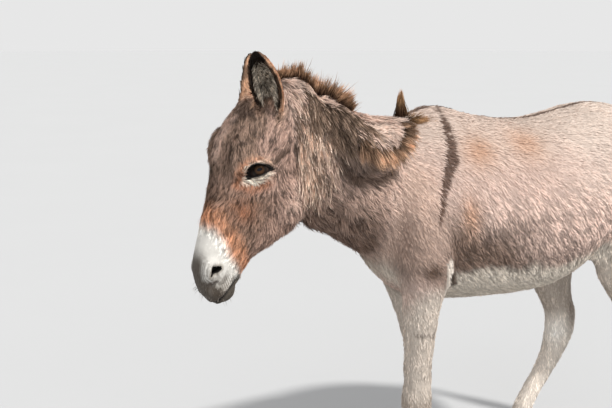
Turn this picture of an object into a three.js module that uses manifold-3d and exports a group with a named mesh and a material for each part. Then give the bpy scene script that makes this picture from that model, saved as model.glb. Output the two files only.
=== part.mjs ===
// A standing grey-dun donkey, life size, as a set of closed solids in millimetres.
// The animal faces -Y, its left side is +X and +Z is up. It is designed about its own mid-plane, then moved
// so that the origin is on the ground, under the middle of its bounding box.
import * as THREE from "three";
import { mergeVertices } from "three/addons/utils/BufferGeometryUtils.js";
import Module from "manifold-3d";

// ---- Driving dimensions, in millimetres ----
const GAP = 0.4; // clearance between neighbouring pieces
const HEAD_LENGTH = 570; // from the poll to the lips
const POLL = [0, -750, 1235]; // top of the head, between the ears
const FACE_TILT = THREE.MathUtils.degToRad(22.7); // of the head's long axis from the vertical
const EYE_RADIUS = 25;
const EYE_AT = { side: 72, along: 219, dorsal: -1 }; // centre of the left eye, in the head's own frame
const LID_THICKNESS = 4.5;
const HOOF_HEIGHT = 74;
const HOOF_SIDE = 100; // from the mid-plane
const FORE_HOOF_Y = -372;
const FORE_REACH = 146; // how far the right forefoot stands behind the left one
const HIND_HOOF_Y = 486;
const HIND_REACH = 334; // how far the right hind foot stands ahead of the left one
const FAR = 3000; // larger than the animal, for cutting blocks

const wasm = await Module();
wasm.setup();

// ---- Solids from three.js geometry ----

// A closed manifold from a geometry, with its shared vertices merged and its collapsed triangles left out.
function solidOf(geometry) {
  const bare = new THREE.BufferGeometry();
  bare.setAttribute("position", geometry.getAttribute("position"));
  bare.setIndex(geometry.getIndex());
  const merged = mergeVertices(bare, 1e-3);
  const corners = [];
  const index = merged.getIndex().array;
  for (let i = 0; i < index.length; i += 3) {
    const [a, b, c] = index.subarray(i, i + 3);
    if (a !== b && b !== c && c !== a) corners.push(a, b, c);
  }
  const mesh = new wasm.Mesh({
    numProp: 3,
    vertProperties: new Float32Array(merged.getAttribute("position").array),
    triVerts: new Uint32Array(corners),
  });
  return new wasm.Manifold(mesh);
}

function geometryOf(solid) {
  const { vertProperties, triVerts } = solid.getMesh();
  const geometry = new THREE.BufferGeometry();
  geometry.setAttribute("position", new THREE.BufferAttribute(vertProperties, 3));
  geometry.setIndex(new THREE.BufferAttribute(triVerts, 1));
  geometry.computeVertexNormals();
  return geometry;
}

// A skin over rings of equal length, closed at both ends by a fan about the ring's middle.
function skin(rings) {
  const around = rings[0].length;
  const points = rings.flat();
  const index = [];
  for (let r = 0; r + 1 < rings.length; r++)
    for (let k = 0; k < around; k++) {
      const a = r * around + k;
      const b = r * around + ((k + 1) % around);
      index.push(a, b, a + around, b, b + around, a + around);
    }
  for (const [ring, turned] of [[0, true], [rings.length - 1, false]]) {
    const middle = new THREE.Vector3();
    rings[ring].forEach((p) => middle.addScaledVector(p, 1 / around));
    const centre = points.push(middle) - 1;
    for (let k = 0; k < around; k++) {
      const a = ring * around + k;
      const b = ring * around + ((k + 1) % around);
      index.push(...(turned ? [centre, b, a] : [centre, a, b]));
    }
  }
  const geometry = new THREE.BufferGeometry().setFromPoints(points);
  geometry.setIndex(index);
  const solid = solidOf(geometry);
  if (solid.volume() > 0) return solid;
  return solidOf(geometry.setIndex(index.reverse()));
}

// A closed oval about a centre: half is its half-width along side, over and under its reach up and down.
// roof and keel are the exponents of its upper and lower halves: 2 is round, less is peaked, more is square.
function oval(centre, side, up, { half, over, under, roof = 2, keel = 2 }, around) {
  return Array.from({ length: around }, (_, k) => {
    const angle = (2 * Math.PI * k) / around;
    const [c, s] = [Math.cos(angle), Math.sin(angle)];
    const power = 2 / (s > 0 ? roof : keel);
    const across = Math.sign(c) * Math.abs(c) ** power * half;
    const height = Math.sign(s) * Math.abs(s) ** power * (s > 0 ? over : under);
    return centre.clone().addScaledVector(side, across).addScaledVector(up, height);
  });
}

const X = new THREE.Vector3(1, 0, 0);
const Y = new THREE.Vector3(0, 1, 0);
const Z = new THREE.Vector3(0, 0, 1);

// A body part made of upright slices along Y.
// Each slice has its top, bottom, half-width and the height where it is widest.
function barrel(stations, around, grow) {
  const rings = stations.map((s) =>
    oval(new THREE.Vector3(0, s.y, s.wide), X, Z, {
      half: s.half + grow,
      over: s.top - s.wide + grow,
      under: s.wide - s.bottom + grow,
      roof: s.roof,
      keel: s.keel,
    }, around));
  return skin(rings);
}

// A limb made of level slices: each has a centre, a half-width, and its reach to the front and to the back.
function limb(stations, around, grow) {
  const rings = stations.map((s) =>
    oval(new THREE.Vector3(s.x, s.y, s.z), X, Y, {
      half: s.half + grow,
      over: s.back + grow,
      under: s.front + grow,
    }, around));
  return skin(rings);
}

// A tube along a curve through points, whose radii go smoothly from one point to the next.
function tube(points, radii, around, count, grow = 0) {
  const curve = new THREE.CatmullRomCurve3(points.map((p) => new THREE.Vector3(...p)));
  const sizes = new THREE.CubicInterpolant(radii.map((_, i) => i / (radii.length - 1)), radii, 1);
  const frames = curve.computeFrenetFrames(count, false);
  const rings = Array.from({ length: count + 1 }, (_, i) => {
    const [radius] = sizes.evaluate(i / count);
    return oval(curve.getPoint(i / count), frames.normals[i], frames.binormals[i], {
      half: radius + grow,
      over: radius + grow,
      under: radius + grow,
    }, around);
  });
  return skin(rings);
}

// A lump of muscle or bone: a sphere stretched to three half-sizes.
function lump(centre, sizes, turn = [0, 0, 0], detail = 10) {
  const ball = new THREE.SphereGeometry(1, detail, Math.round(detail * 0.7));
  const matrix = new THREE.Matrix4().compose(
    new THREE.Vector3(...centre),
    new THREE.Quaternion().setFromEuler(new THREE.Euler(...turn)),
    new THREE.Vector3(...sizes),
  );
  return solidOf(ball.applyMatrix4(matrix));
}

// A cutting block between two corners, sheared, turned about its own zero and moved to a pivot.
// The slopes say how much its Z rises along X and along Y, and how much its Y moves along Z.
function block(low, high, pivot, { zAlongX = 0, zAlongY = 0, yAlongZ = 0, turn = 0 }, grow) {
  const box = new THREE.BoxGeometry(...high.map((h, i) => h - low[i] + 2 * grow));
  box.translate(...high.map((h, i) => (h + low[i]) / 2));
  box.applyMatrix4(new THREE.Matrix4().makeShear(0, zAlongX, 0, zAlongY, 0, yAlongZ));
  box.rotateX(turn);
  return solidOf(box.translate(...pivot));
}

const union = (solids) => solids.reduce((all, s) => all.add(s));
// The largest separate body of a solid, without the slivers that a cut may leave.
const largest = (solid) => solid.decompose().reduce((a, b) => (b.volume() > a.volume() ? b : a));

// ---- Trunk ----
const TRUNK = [
  { y: -480, top: 880, bottom: 790, wide: 830, half: 48, roof: 2, keel: 2 },
  { y: -466, top: 925, bottom: 742, wide: 815, half: 86, roof: 2, keel: 2 },
  { y: -436, top: 1010, bottom: 704, wide: 805, half: 122, roof: 2, keel: 2 },
  { y: -390, top: 1112, bottom: 658, wide: 812, half: 148, roof: 1.8, keel: 2 },
  { y: -330, top: 1166, bottom: 630, wide: 820, half: 170, roof: 1.65, keel: 2 },
  { y: -265, top: 1175, bottom: 619, wide: 830, half: 194, roof: 1.6, keel: 2.1 },
  { y: -215, top: 1166, bottom: 614, wide: 834, half: 211, roof: 1.65, keel: 2.1 },
  { y: -150, top: 1146, bottom: 612, wide: 838, half: 230, roof: 1.7, keel: 2.15 },
  { y: -40, top: 1127, bottom: 608, wide: 838, half: 250, roof: 1.85, keel: 2.15 },
  { y: 70, top: 1124, bottom: 610, wide: 845, half: 255, roof: 1.9, keel: 2.1 },
  { y: 170, top: 1140, bottom: 632, wide: 870, half: 242, roof: 1.9, keel: 2 },
  { y: 255, top: 1158, bottom: 668, wide: 905, half: 221, roof: 1.95, keel: 1.95 },
  { y: 335, top: 1163, bottom: 705, wide: 930, half: 207, roof: 2, keel: 2 },
  { y: 425, top: 1145, bottom: 735, wide: 935, half: 188, roof: 2, keel: 2 },
  { y: 500, top: 1110, bottom: 765, wide: 930, half: 158, roof: 2, keel: 2 },
  { y: 550, top: 1070, bottom: 800, wide: 925, half: 122, roof: 2, keel: 2 },
  { y: 578, top: 1025, bottom: 850, wide: 925, half: 80, roof: 2, keel: 2 },
  { y: 590, top: 985, bottom: 885, wide: 925, half: 45, roof: 2, keel: 2 },
];

// ---- Neck, and the fallen crest that lies over on the left side ----
const NECK = [
  { y: -812, top: 1160, bottom: 1050, wide: 1110, half: 34, roof: 2, keel: 2 },
  { y: -790, top: 1200, bottom: 1000, wide: 1095, half: 52, roof: 2, keel: 2 },
  { y: -745, top: 1230, bottom: 930, wide: 1075, half: 66, roof: 1.8, keel: 2 },
  { y: -700, top: 1236, bottom: 888, wide: 1050, half: 74, roof: 1.7, keel: 2 },
  { y: -645, top: 1218, bottom: 857, wide: 1020, half: 82, roof: 1.65, keel: 2 },
  { y: -580, top: 1194, bottom: 829, wide: 990, half: 91, roof: 1.65, keel: 2 },
  { y: -515, top: 1167, bottom: 786, wide: 960, half: 104, roof: 1.65, keel: 2 },
  { y: -455, top: 1151, bottom: 735, wide: 925, half: 121, roof: 1.6, keel: 2 },
  { y: -390, top: 1147, bottom: 704, wide: 900, half: 138, roof: 1.6, keel: 2 },
  { y: -310, top: 1150, bottom: 700, wide: 890, half: 138, roof: 1.6, keel: 2 },
];
const CREST_LINE = [
  [0, -690, 1195],
  [12, -640, 1172],
  [44, -592, 1128],
  [76, -552, 1070],
  [82, -500, 1056],
  [58, -440, 1080],
  [14, -372, 1112],
];
const CREST_RADII = [26, 40, 54, 62, 60, 48, 30];

// ---- Legs: the left ones, and the right ones in their own stance ----
const LEG_AROUND = 12; // points round a leg
const FORELEG = [
  { z: 1040, x: 70, y: -325, half: 36, front: 42, back: 46 },
  { z: 975, x: 93, y: -345, half: 56, front: 74, back: 88 },
  { z: 900, x: 108, y: -360, half: 70, front: 88, back: 114 },
  { z: 825, x: 116, y: -372, half: 77, front: 89, back: 120 },
  { z: 760, x: 121, y: -374, half: 74, front: 84, back: 108 },
  { z: 705, x: 122, y: -370, half: 65, front: 70, back: 86 },
  { z: 655, x: 119, y: -368, half: 55, front: 59, back: 64 },
  { z: 600, x: 115, y: -367, half: 48, front: 53, back: 51 },
  { z: 530, x: 110, y: -367, half: 42, front: 47, back: 46 },
  { z: 460, x: 106, y: -367, half: 37, front: 42, back: 42 },
  { z: 410, x: 104, y: -367, half: 37, front: 42, back: 41 },
  { z: 370, x: 103, y: -368, half: 43, front: 47, back: 46 },
  { z: 338, x: 102, y: -368, half: 43, front: 47, back: 47 },
  { z: 300, x: 101, y: -365, half: 36, front: 37, back: 42 },
  { z: 255, x: 101, y: -363, half: 28, front: 28, back: 35 },
  { z: 200, x: 100, y: -362, half: 26, front: 26, back: 33 },
  { z: 168, x: 100, y: -362, half: 30, front: 29, back: 38 },
  { z: 142, x: 100, y: -363, half: 33, front: 32, back: 43 },
  { z: 112, x: 100, y: -368, half: 30, front: 31, back: 37 },
  { z: 84, x: 100, y: -374, half: 31, front: 35, back: 35 },
  { z: 46, x: 100, y: -376, half: 30, front: 35, back: 30 },
];
const HINDLEG = [
  { z: 1075, x: 88, y: 318, half: 46, front: 56, back: 68 },
  { z: 1000, x: 110, y: 335, half: 82, front: 122, back: 162 },
  { z: 910, x: 124, y: 362, half: 92, front: 148, back: 198 },
  { z: 820, x: 129, y: 378, half: 90, front: 150, back: 184 },
  { z: 750, x: 130, y: 382, half: 80, front: 142, back: 156 },
  { z: 690, x: 127, y: 386, half: 69, front: 134, back: 124 },
  { z: 625, x: 120, y: 402, half: 57, front: 116, back: 95 },
  { z: 565, x: 112, y: 430, half: 48, front: 94, back: 76 },
  { z: 515, x: 107, y: 456, half: 41, front: 75, back: 63 },
  { z: 475, x: 104, y: 476, half: 38, front: 63, back: 67 },
  { z: 440, x: 102, y: 486, half: 40, front: 57, back: 63 },
  { z: 400, x: 101, y: 490, half: 39, front: 49, back: 58 },
  { z: 350, x: 100, y: 495, half: 33, front: 37, back: 50 },
  { z: 295, x: 100, y: 500, half: 29, front: 30, back: 43 },
  { z: 220, x: 100, y: 505, half: 28, front: 28, back: 40 },
  { z: 175, x: 100, y: 507, half: 30, front: 30, back: 39 },
  { z: 148, x: 100, y: 505, half: 33, front: 33, back: 43 },
  { z: 115, x: 100, y: 496, half: 30, front: 32, back: 37 },
  { z: 84, x: 100, y: 486, half: 31, front: 35, back: 35 },
  { z: 46, x: 100, y: 482, half: 30, front: 35, back: 30 },
];
// How far the right leg's slices stand from the left one's, along Y, at each height.
const RIGHT_FORE_SHIFT = [
  { z: 1100, y: 0 },
  { z: 900, y: 8 },
  { z: 760, y: 42 },
  { z: 655, y: 82 },
  { z: 530, y: 122 },
  { z: 430, y: 140 },
  { z: 350, y: FORE_REACH },
  { z: 150, y: FORE_REACH },
  { z: 0, y: FORE_REACH },
];
const RIGHT_HIND_SHIFT = [
  { z: 1100, y: 0 },
  { z: 950, y: 0 },
  { z: 820, y: -22 },
  { z: 690, y: -62 },
  { z: 565, y: -118 },
  { z: 440, y: -147 },
  { z: 390, y: -162 },
  { z: 300, y: -216 },
  { z: 220, y: -284 },
  { z: 165, y: -318 },
  { z: 110, y: -332 },
  { z: 0, y: -HIND_REACH },
];
// A slanting shin is thicker when it is cut level, so its slices are stretched by this much at each height.
const RIGHT_HIND_STRETCH = [
  { z: 1100, k: 1 },
  { z: 440, k: 1 },
  { z: 350, k: 1.22 },
  { z: 220, k: 1.3 },
  { z: 160, k: 1.06 },
  { z: 0, k: 1 },
];

function valueAt(table, field, z) {
  const ordered = [...table].reverse();
  const curve = new THREE.CubicInterpolant(ordered.map((s) => s.z), ordered.map((s) => s[field]), 1);
  return curve.evaluate(z)[0];
}

function rightLeg(stations, shift, stretch) {
  return stations.map((s) => {
    const k = stretch ? valueAt(stretch, "k", s.z) : 1;
    return { ...s, x: -s.x, y: s.y + valueAt(shift, "y", s.z), front: s.front * k, back: s.back * k };
  });
}

const RIGHT_FORELEG = rightLeg(FORELEG, RIGHT_FORE_SHIFT);
const RIGHT_HINDLEG = rightLeg(HINDLEG, RIGHT_HIND_SHIFT, RIGHT_HIND_STRETCH);

// A small upright hoof: level slices on a flat sole, with the toe sloping and the heel steep.
function hoof(x, y, grow) {
  const slices = [
    { z: 0, half: 42, front: 54, back: 44, y: -12 },
    { z: 26, half: 40.5, front: 51, back: 43, y: -8 },
    { z: 52, half: 38, front: 46, back: 41, y: -3 },
    { z: HOOF_HEIGHT, half: 35, front: 41, back: 38, y: 1 },
  ];
  return skin(slices.map((s) =>
    oval(new THREE.Vector3(x, y + s.y, s.z), X, Y, {
      half: s.half + grow,
      over: s.back + grow,
      under: s.front + grow,
      roof: 2.4,
      keel: 2.05,
    }, LEG_AROUND)));
}

const HOOVES = {
  left_fore: [HOOF_SIDE, FORE_HOOF_Y],
  right_fore: [-HOOF_SIDE, FORE_HOOF_Y + FORE_REACH],
  left_hind: [HOOF_SIDE, HIND_HOOF_Y],
  right_hind: [-HOOF_SIDE, HIND_HOOF_Y - HIND_REACH],
};

// ---- Head, in its own frame: along runs from the poll to the lips, dorsal towards the face line ----
const ALONG = new THREE.Vector3(0, -Math.sin(FACE_TILT), -Math.cos(FACE_TILT));
const DORSAL = new THREE.Vector3(0, -Math.cos(FACE_TILT), Math.sin(FACE_TILT));
const inHead = (side, along, dorsal) =>
  new THREE.Vector3(...POLL)
    .addScaledVector(X, side)
    .addScaledVector(ALONG, along)
    .addScaledVector(DORSAL, dorsal);
const HEAD_TURN = [-FACE_TILT, 0, 0]; // turns Z onto -ALONG and -Y onto DORSAL

const HEAD = [
  { s: -34, top: -22, bottom: -72, wide: -46, half: 30, roof: 2, keel: 2 },
  { s: -16, top: 8, bottom: -112, wide: -46, half: 54, roof: 2, keel: 2 },
  { s: 20, top: 38, bottom: -142, wide: -38, half: 72, roof: 2, keel: 2 },
  { s: 70, top: 70, bottom: -160, wide: -28, half: 85, roof: 2.2, keel: 1.9 },
  { s: 125, top: 89, bottom: -174, wide: -18, half: 91, roof: 2.3, keel: 1.8 },
  { s: 180, top: 97, bottom: -184, wide: -12, half: 90, roof: 2.3, keel: 1.8 },
  { s: 228, top: 93, bottom: -200, wide: -14, half: 85, roof: 2.2, keel: 1.8 },
  { s: 280, top: 80, bottom: -209, wide: -24, half: 78, roof: 2.1, keel: 1.8 },
  { s: 330, top: 70, bottom: -189, wide: -26, half: 69, roof: 2.1, keel: 1.8 },
  { s: 380, top: 65, bottom: -146, wide: -24, half: 60, roof: 2.1, keel: 1.9 },
  { s: 430, top: 59, bottom: -98, wide: -18, half: 54, roof: 2.1, keel: 2 },
  { s: 478, top: 51, bottom: -82, wide: -14, half: 52, roof: 2.1, keel: 2.1 },
  { s: 512, top: 40, bottom: -80, wide: -16, half: 52, roof: 2.1, keel: 2.1 },
  { s: 542, top: 19, bottom: -77, wide: -24, half: 45, roof: 2, keel: 2.1 },
  { s: 562, top: -6, bottom: -68, wide: -34, half: 32, roof: 2, keel: 2 },
  { s: HEAD_LENGTH, top: -24, bottom: -56, wide: -40, half: 16, roof: 2, keel: 2 },
];

const headLump = (side, along, dorsal, half, length, depth, tilt = 0, detail = 8) =>
  lump(inHead(side, along, dorsal).toArray(), [half, depth, length], [HEAD_TURN[0] + tilt, 0, 0], detail);

// Pairs of lumps that stand out of the face: the brow, cheek muscle, nostril and lip.
function faceLumps(sign, grow) {
  return [
    headLump(sign * 64, 196, 50, 28 + grow, 66 + grow, 38 + grow, 0.24),
    headLump(sign * 47, 232, -106, 37 + grow, 96 + grow, 84 + grow, 0.1, 10),
    headLump(sign * 34, 488, 10, 24 + grow, 40 + grow, 27 + grow),
    headLump(sign * 24, 536, -18, 23 + grow, 30 + grow, 25 + grow),
  ];
}

function headFlesh(grow) {
  const rings = HEAD.map((s) =>
    oval(inHead(0, s.s, s.wide), X, DORSAL, {
      half: s.half + grow,
      over: s.top - s.wide + grow,
      under: s.wide - s.bottom + grow,
      roof: s.roof,
      keel: s.keel,
    }, 18));
  const chin = headLump(0, 532, -66, 31 + grow, 34 + grow, 20 + grow);
  return union([skin(rings), chin, ...faceLumps(1, grow), ...faceLumps(-1, grow)]);
}

// Each nostril is a hollow, long and narrow, that slants across the side of the muzzle.
const NOSTRIL_SLANT = 0.48;
const nostril = (sign) => headLump(sign * 56, 491, 9, 20, 19, 8, NOSTRIL_SLANT);

// The lids: a ball a little larger than the eye, which stands out of the face round an almond opening.
const eyeCentre = (sign) => inHead(sign * EYE_AT.side, EYE_AT.along, EYE_AT.dorsal);
const ballAtEye = (sign, radius) => lump(eyeCentre(sign).toArray(), Array(3).fill(radius), [0, 0, 0], 12);
const lids = (sign, grow) => ballAtEye(sign, EYE_RADIUS + LID_THICKNESS + grow);
const eyeBall = (sign, grow) => ballAtEye(sign, EYE_RADIUS + grow);
const EYE_SLOT = { out: 30, half_length: 34, half_height: 13.5, slant: 0.8, shift: 21 };
function eyeOpening(sign) {
  const at = eyeCentre(sign).addScaledVector(X, sign * EYE_SLOT.shift);
  return lump(
    at.toArray(),
    [EYE_SLOT.out, EYE_SLOT.half_height, EYE_SLOT.half_length],
    [HEAD_TURN[0] - EYE_SLOT.slant, 0, 0],
    10,
  );
}

// ---- The whole flesh, as one solid ----
function flesh(grow) {
  const parts = [
    barrel(TRUNK, 20, grow),
    barrel(NECK, 16, grow),
    tube(CREST_LINE, CREST_RADII, 11, 10, grow),
    limb(FORELEG, LEG_AROUND, grow),
    limb(RIGHT_FORELEG, LEG_AROUND, grow),
    limb(HINDLEG, LEG_AROUND, grow),
    limb(RIGHT_HINDLEG, LEG_AROUND, grow),
    headFlesh(grow),
    lids(1, grow),
    lids(-1, grow),
    ...Object.values(HOOVES).map(([x, y]) => hoof(x, y, grow)),
  ];
  return union(parts);
}

// ---- Ears: a long leaf rolled into a cone, open at the front and outside ----
const EAR = [
  { t: 0, radius: 23, open: 1.1, wall: 9 },
  { t: 0.12, radius: 29, open: 1.8, wall: 9 },
  { t: 0.26, radius: 35, open: 2.3, wall: 9 },
  { t: 0.42, radius: 39, open: 2.5, wall: 9 },
  { t: 0.58, radius: 38.5, open: 2.5, wall: 9 },
  { t: 0.74, radius: 33, open: 2.4, wall: 9 },
  { t: 0.87, radius: 25, open: 2.3, wall: 8 },
  { t: 0.96, radius: 15.5, open: 2.2, wall: 6.5 },
  { t: 1, radius: 8, open: 2.1, wall: 4 },
];
// Each ear has its own set: the left one is turned forwards and out, the right one stands straighter.
const EARS = {
  left: { base: [59, -782, 1150], tip: [130, -869, 1323], faces: [0.77, -0.64, 0] },
  right: { base: [-58, -811, 1140], tip: [-112, -766, 1312], faces: [-0.8, -0.6, 0] },
};
const EAR_ARC = 7; // points along the outside of a slice, and again along its inside
const EAR_BEND = 9; // how far the ear bows backwards in the middle

function ear({ base, tip, faces }) {
  const root = new THREE.Vector3(...base);
  const axis = new THREE.Vector3(...tip).sub(root);
  const length = axis.length();
  axis.normalize();
  const out = new THREE.Vector3(...faces);
  out.addScaledVector(axis, -out.dot(axis)).normalize();
  const across = new THREE.Vector3().crossVectors(axis, out);
  const rings = EAR.map((s) => {
    const sweep = Math.PI - s.open / 2;
    const bend = Math.sin(Math.PI * s.t) * EAR_BEND;
    const centre = root.clone().addScaledVector(axis, length * s.t).addScaledVector(out, -bend);
    const arc = (radius, turn) => Array.from({ length: EAR_ARC }, (_, k) => {
      const angle = turn * sweep * (1 - (2 * k) / (EAR_ARC - 1));
      return centre.clone()
        .addScaledVector(out, -Math.cos(angle) * radius)
        .addScaledVector(across, Math.sin(angle) * radius);
    });
    return [...arc(s.radius, 1), ...arc(s.radius - s.wall, -1)];
  });
  return skin(rings);
}

// ---- Mane and tail ----
const MANE_LINE = [
  [0, -792, 1222],
  [0, -745, 1240],
  [0, -690, 1236],
  [0, -640, 1216],
  [10, -590, 1192],
  [42, -560, 1168],
];
const MANE_HEIGHT = [26, 44, 52, 50, 54, 34];
const MANE_HALF = 11;
const MANE_ROOT = 22; // how far it reaches into the neck before it is trimmed
const MANE_SLICES = 10;

// An upright crest of hair: a thin strip whose height changes along its line.
function mane() {
  const curve = new THREE.CatmullRomCurve3(MANE_LINE.map((p) => new THREE.Vector3(...p)));
  const places = MANE_HEIGHT.map((_, i) => i / (MANE_HEIGHT.length - 1));
  const heights = new THREE.CubicInterpolant(places, MANE_HEIGHT, 1);
  const rings = Array.from({ length: MANE_SLICES + 1 }, (_, i) => {
    const place = i / MANE_SLICES;
    const over = heights.evaluate(place)[0] * (i % 2 ? 1.06 : 0.94); // a little ragged
    return oval(curve.getPoint(place), X, Z, { half: MANE_HALF, over, under: MANE_ROOT, roof: 1.5 }, 8);
  });
  return skin(rings);
}

// A single upright tuft, left standing where the fallen crest ends in front of the withers.
const TUFT_LINE = [[8, -362, 1128], [4, -366, 1150], [0, -372, 1172], [0, -374, 1196]];
const TUFT_RADII = [15, 15, 10, 3];

const TAIL_LINE = [
  [0, 560, 1072],
  [0, 604, 1052],
  [0, 640, 990],
  [0, 652, 900],
  [0, 650, 800],
  [0, 646, 735],
];
const TAIL_RADII = [30, 30, 25, 20, 16, 13];
const SWITCH_LINE = [[0, 646, 742], [0, 645, 690], [0, 643, 600], [0, 640, 500], [0, 638, 430]];
const SWITCH_RADII = [12, 23, 31, 24, 6];

// ---- Parting the flesh into named pieces ----
// Each cut gives the piece inside a block and takes a slightly larger block away from what is left.
const column = (sign, inner, outer, length) => [ // lowest and highest corners, on the leg's own side
  [sign > 0 ? inner : -outer, -length, -900],
  [sign > 0 ? outer : -inner, length, 0],
];
const cuts = {
  head: (g) => block([-FAR, -FAR, -FAR], [FAR, 0, FAR], [0, -722, 1000], { yAlongZ: -0.128 }, g),
  neck: (g) => block([-FAR, -FAR, -FAR], [FAR, 0, FAR], [0, -470, 900], { yAlongZ: 0.27 }, g),
  foreleg: (sign, y) => (g) =>
    block(...column(sign, -66, 150, 200), [sign * 118, y, 650], { zAlongX: sign * 0.7 }, g),
  hindleg: (sign, y) => (g) =>
    block(...column(sign, -90, 160, 260), [sign * 122, y, 730], { zAlongX: sign * 0.7 }, g),
  below: (sign, y, z, slope = 0) => (g) =>
    block(...column(sign, -60, 100, 400), [sign * 100, y, z], { zAlongY: slope }, g),
};

function take(rest, cut) {
  const piece = largest(rest.intersect(cut(0)));
  return [piece, largest(rest.subtract(cut(GAP)))];
}

// ---- Building it all ----
const COAT = new THREE.Color().setRGB(0.42, 0.33, 0.27);
const LOOKS = {
  coat: { color: COAT, roughness: 0.9 },
  pale: { color: new THREE.Color().setRGB(0.62, 0.58, 0.53), roughness: 0.9 },
  dark: { color: new THREE.Color().setRGB(0.13, 0.09, 0.07), roughness: 0.85 },
  horn: { color: new THREE.Color().setRGB(0.1, 0.09, 0.08), roughness: 0.5 },
  eye: { color: new THREE.Color().setRGB(0.02, 0.013, 0.01), roughness: 0.08 },
};

const donkey = new THREE.Group();
function show(name, solid, look) {
  const material = new THREE.MeshStandardMaterial({ ...LOOKS[look], metalness: 0 });
  const mesh = new THREE.Mesh(geometryOf(solid), material);
  mesh.name = name;
  donkey.add(mesh);
}

const sides = { left: 1, right: -1 };
let body = flesh(0);
const room = flesh(3 * GAP); // the same flesh, a little larger, for what has to stay clear of it
const pieces = {};

for (const [side, sign] of Object.entries(sides)) {
  body = body.subtract(eyeOpening(sign)).subtract(eyeBall(sign, GAP)).subtract(nostril(sign));
  pieces[`${side}_eye`] = [eyeBall(sign, 0), "eye"];
}
[pieces.head, body] = take(body, cuts.head);
[pieces.neck, body] = take(body, cuts.neck);
pieces.head = [pieces.head, "coat"];
pieces.neck = [pieces.neck, "coat"];

// The lower lip and chin, parted from the head along the line of the mouth.
const MOUTH = { along: 470, dorsal: -68, slant: 0.3, slit: 1.2, behind: 6 };
const mouthBlock = (g) => {
  const corner = inHead(0, MOUTH.along, MOUTH.dorsal).toArray();
  return block([-FAR, 0, -FAR], [FAR, FAR, MOUTH.behind], corner, { turn: HEAD_TURN[0] + MOUTH.slant }, g);
};
const upper = largest(pieces.head[0].subtract(mouthBlock(MOUTH.slit)));
pieces.lower_jaw = [largest(pieces.head[0].intersect(mouthBlock(0))), "pale"];
pieces.head = [upper, "coat"];

const CORONET = { height: 60, slope: -0.25 }; // the hoof's upper edge, higher in front
const STANCE = { left_fore: -367, right_fore: -330, left_hind: 385, right_hind: 330 };
const JOINTS = {
  fore: { joint: 425, y: -367, top: cuts.foreleg },
  hind: { joint: 520, y: 460, top: cuts.hindleg },
};
for (const [side, sign] of Object.entries(sides))
  for (const [pair, { joint, y, top }] of Object.entries(JOINTS)) {
    const leg = `${side}_${pair}`;
    let rest;
    [rest, body] = take(body, top(sign, STANCE[leg]));
    const [, hoofY] = HOOVES[leg];
    const [below, above] = take(rest, cuts.below(sign, (y + hoofY) / 2, joint));
    const [foot, lower] = take(below, cuts.below(sign, hoofY, CORONET.height, CORONET.slope));
    pieces[`${leg}_leg_upper`] = [above, "coat"];
    pieces[`${leg}_leg_lower`] = [lower, "coat"];
    pieces[`${leg}_hoof`] = [foot, "horn"];
  }
pieces.trunk = [body, "coat"];

for (const side of Object.keys(sides))
  pieces[`${side}_ear`] = [largest(ear(EARS[side]).subtract(room)), "coat"];
pieces.mane = [largest(mane().subtract(room)), "dark"];
pieces.withers_tuft = [largest(tube(TUFT_LINE, TUFT_RADII, 7, 3).subtract(room)), "dark"];
const dock = largest(tube(TAIL_LINE, TAIL_RADII, 10, 8).subtract(room));
pieces.tail = [dock, "coat"];
const hair = tube(SWITCH_LINE, SWITCH_RADII, 10, 7).subtract(tube(TAIL_LINE, TAIL_RADII, 10, 8, GAP));
pieces.tail_switch = [largest(hair), "dark"];

for (const [name, [solid, look]] of Object.entries(pieces)) show(name, solid, look);

// The origin goes on the ground, under the middle of the whole animal's box.
donkey.updateMatrixWorld(true);
const box = new THREE.Box3().setFromObject(donkey);
const middle = box.getCenter(new THREE.Vector3());
donkey.children.forEach((mesh) => mesh.position.set(-middle.x, -middle.y, -box.min.z));

export default donkey;
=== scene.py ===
# A standing grey-dun donkey: one skin over the solids of flesh, and a coat of mesh tufts over the skin.
# Sizes are in metres. The animal faces -Y, its left side is +X and +Z is up.
import math

import bmesh
import bpy
import numpy as np
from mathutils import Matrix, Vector
from mathutils.bvhtree import BVHTree


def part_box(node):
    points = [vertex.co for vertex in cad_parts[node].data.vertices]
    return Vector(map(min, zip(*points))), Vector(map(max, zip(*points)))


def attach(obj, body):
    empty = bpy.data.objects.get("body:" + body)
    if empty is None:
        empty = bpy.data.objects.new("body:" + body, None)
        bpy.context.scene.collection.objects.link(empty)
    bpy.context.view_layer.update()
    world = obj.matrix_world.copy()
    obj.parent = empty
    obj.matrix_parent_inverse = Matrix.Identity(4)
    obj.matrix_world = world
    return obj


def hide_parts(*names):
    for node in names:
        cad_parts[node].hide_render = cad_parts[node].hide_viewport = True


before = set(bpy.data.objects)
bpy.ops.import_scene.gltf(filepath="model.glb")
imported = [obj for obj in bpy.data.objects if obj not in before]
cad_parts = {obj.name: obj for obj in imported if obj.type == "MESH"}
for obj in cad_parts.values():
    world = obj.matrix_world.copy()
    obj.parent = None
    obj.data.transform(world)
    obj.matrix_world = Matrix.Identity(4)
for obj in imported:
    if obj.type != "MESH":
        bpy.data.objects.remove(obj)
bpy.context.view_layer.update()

rng = np.random.default_rng(7)

# ---- The animal's own frame: its mid-plane is at x = 0, and OWN_POLL lies between the ears ----
OWN_POLL = np.array([0.0, -0.750, 1.235])
FACE_TILT = math.radians(22.7)  # of the head's long axis from the vertical
ALONG = np.array([0.0, -math.sin(FACE_TILT), -math.cos(FACE_TILT)])  # from the poll to the lips
DORSAL = np.array([0.0, -math.cos(FACE_TILT), math.sin(FACE_TILT)])  # out of the forehead
SIDE = np.array([1.0, 0.0, 0.0])
EYE_RADIUS = 0.025
EYE_AT = (0.072, 0.219, -0.001)  # side, along and dorsal of the left eye from the poll
LEGS = [f"{side}_{pair}" for side in ("left", "right") for pair in ("fore", "hind")]


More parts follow.
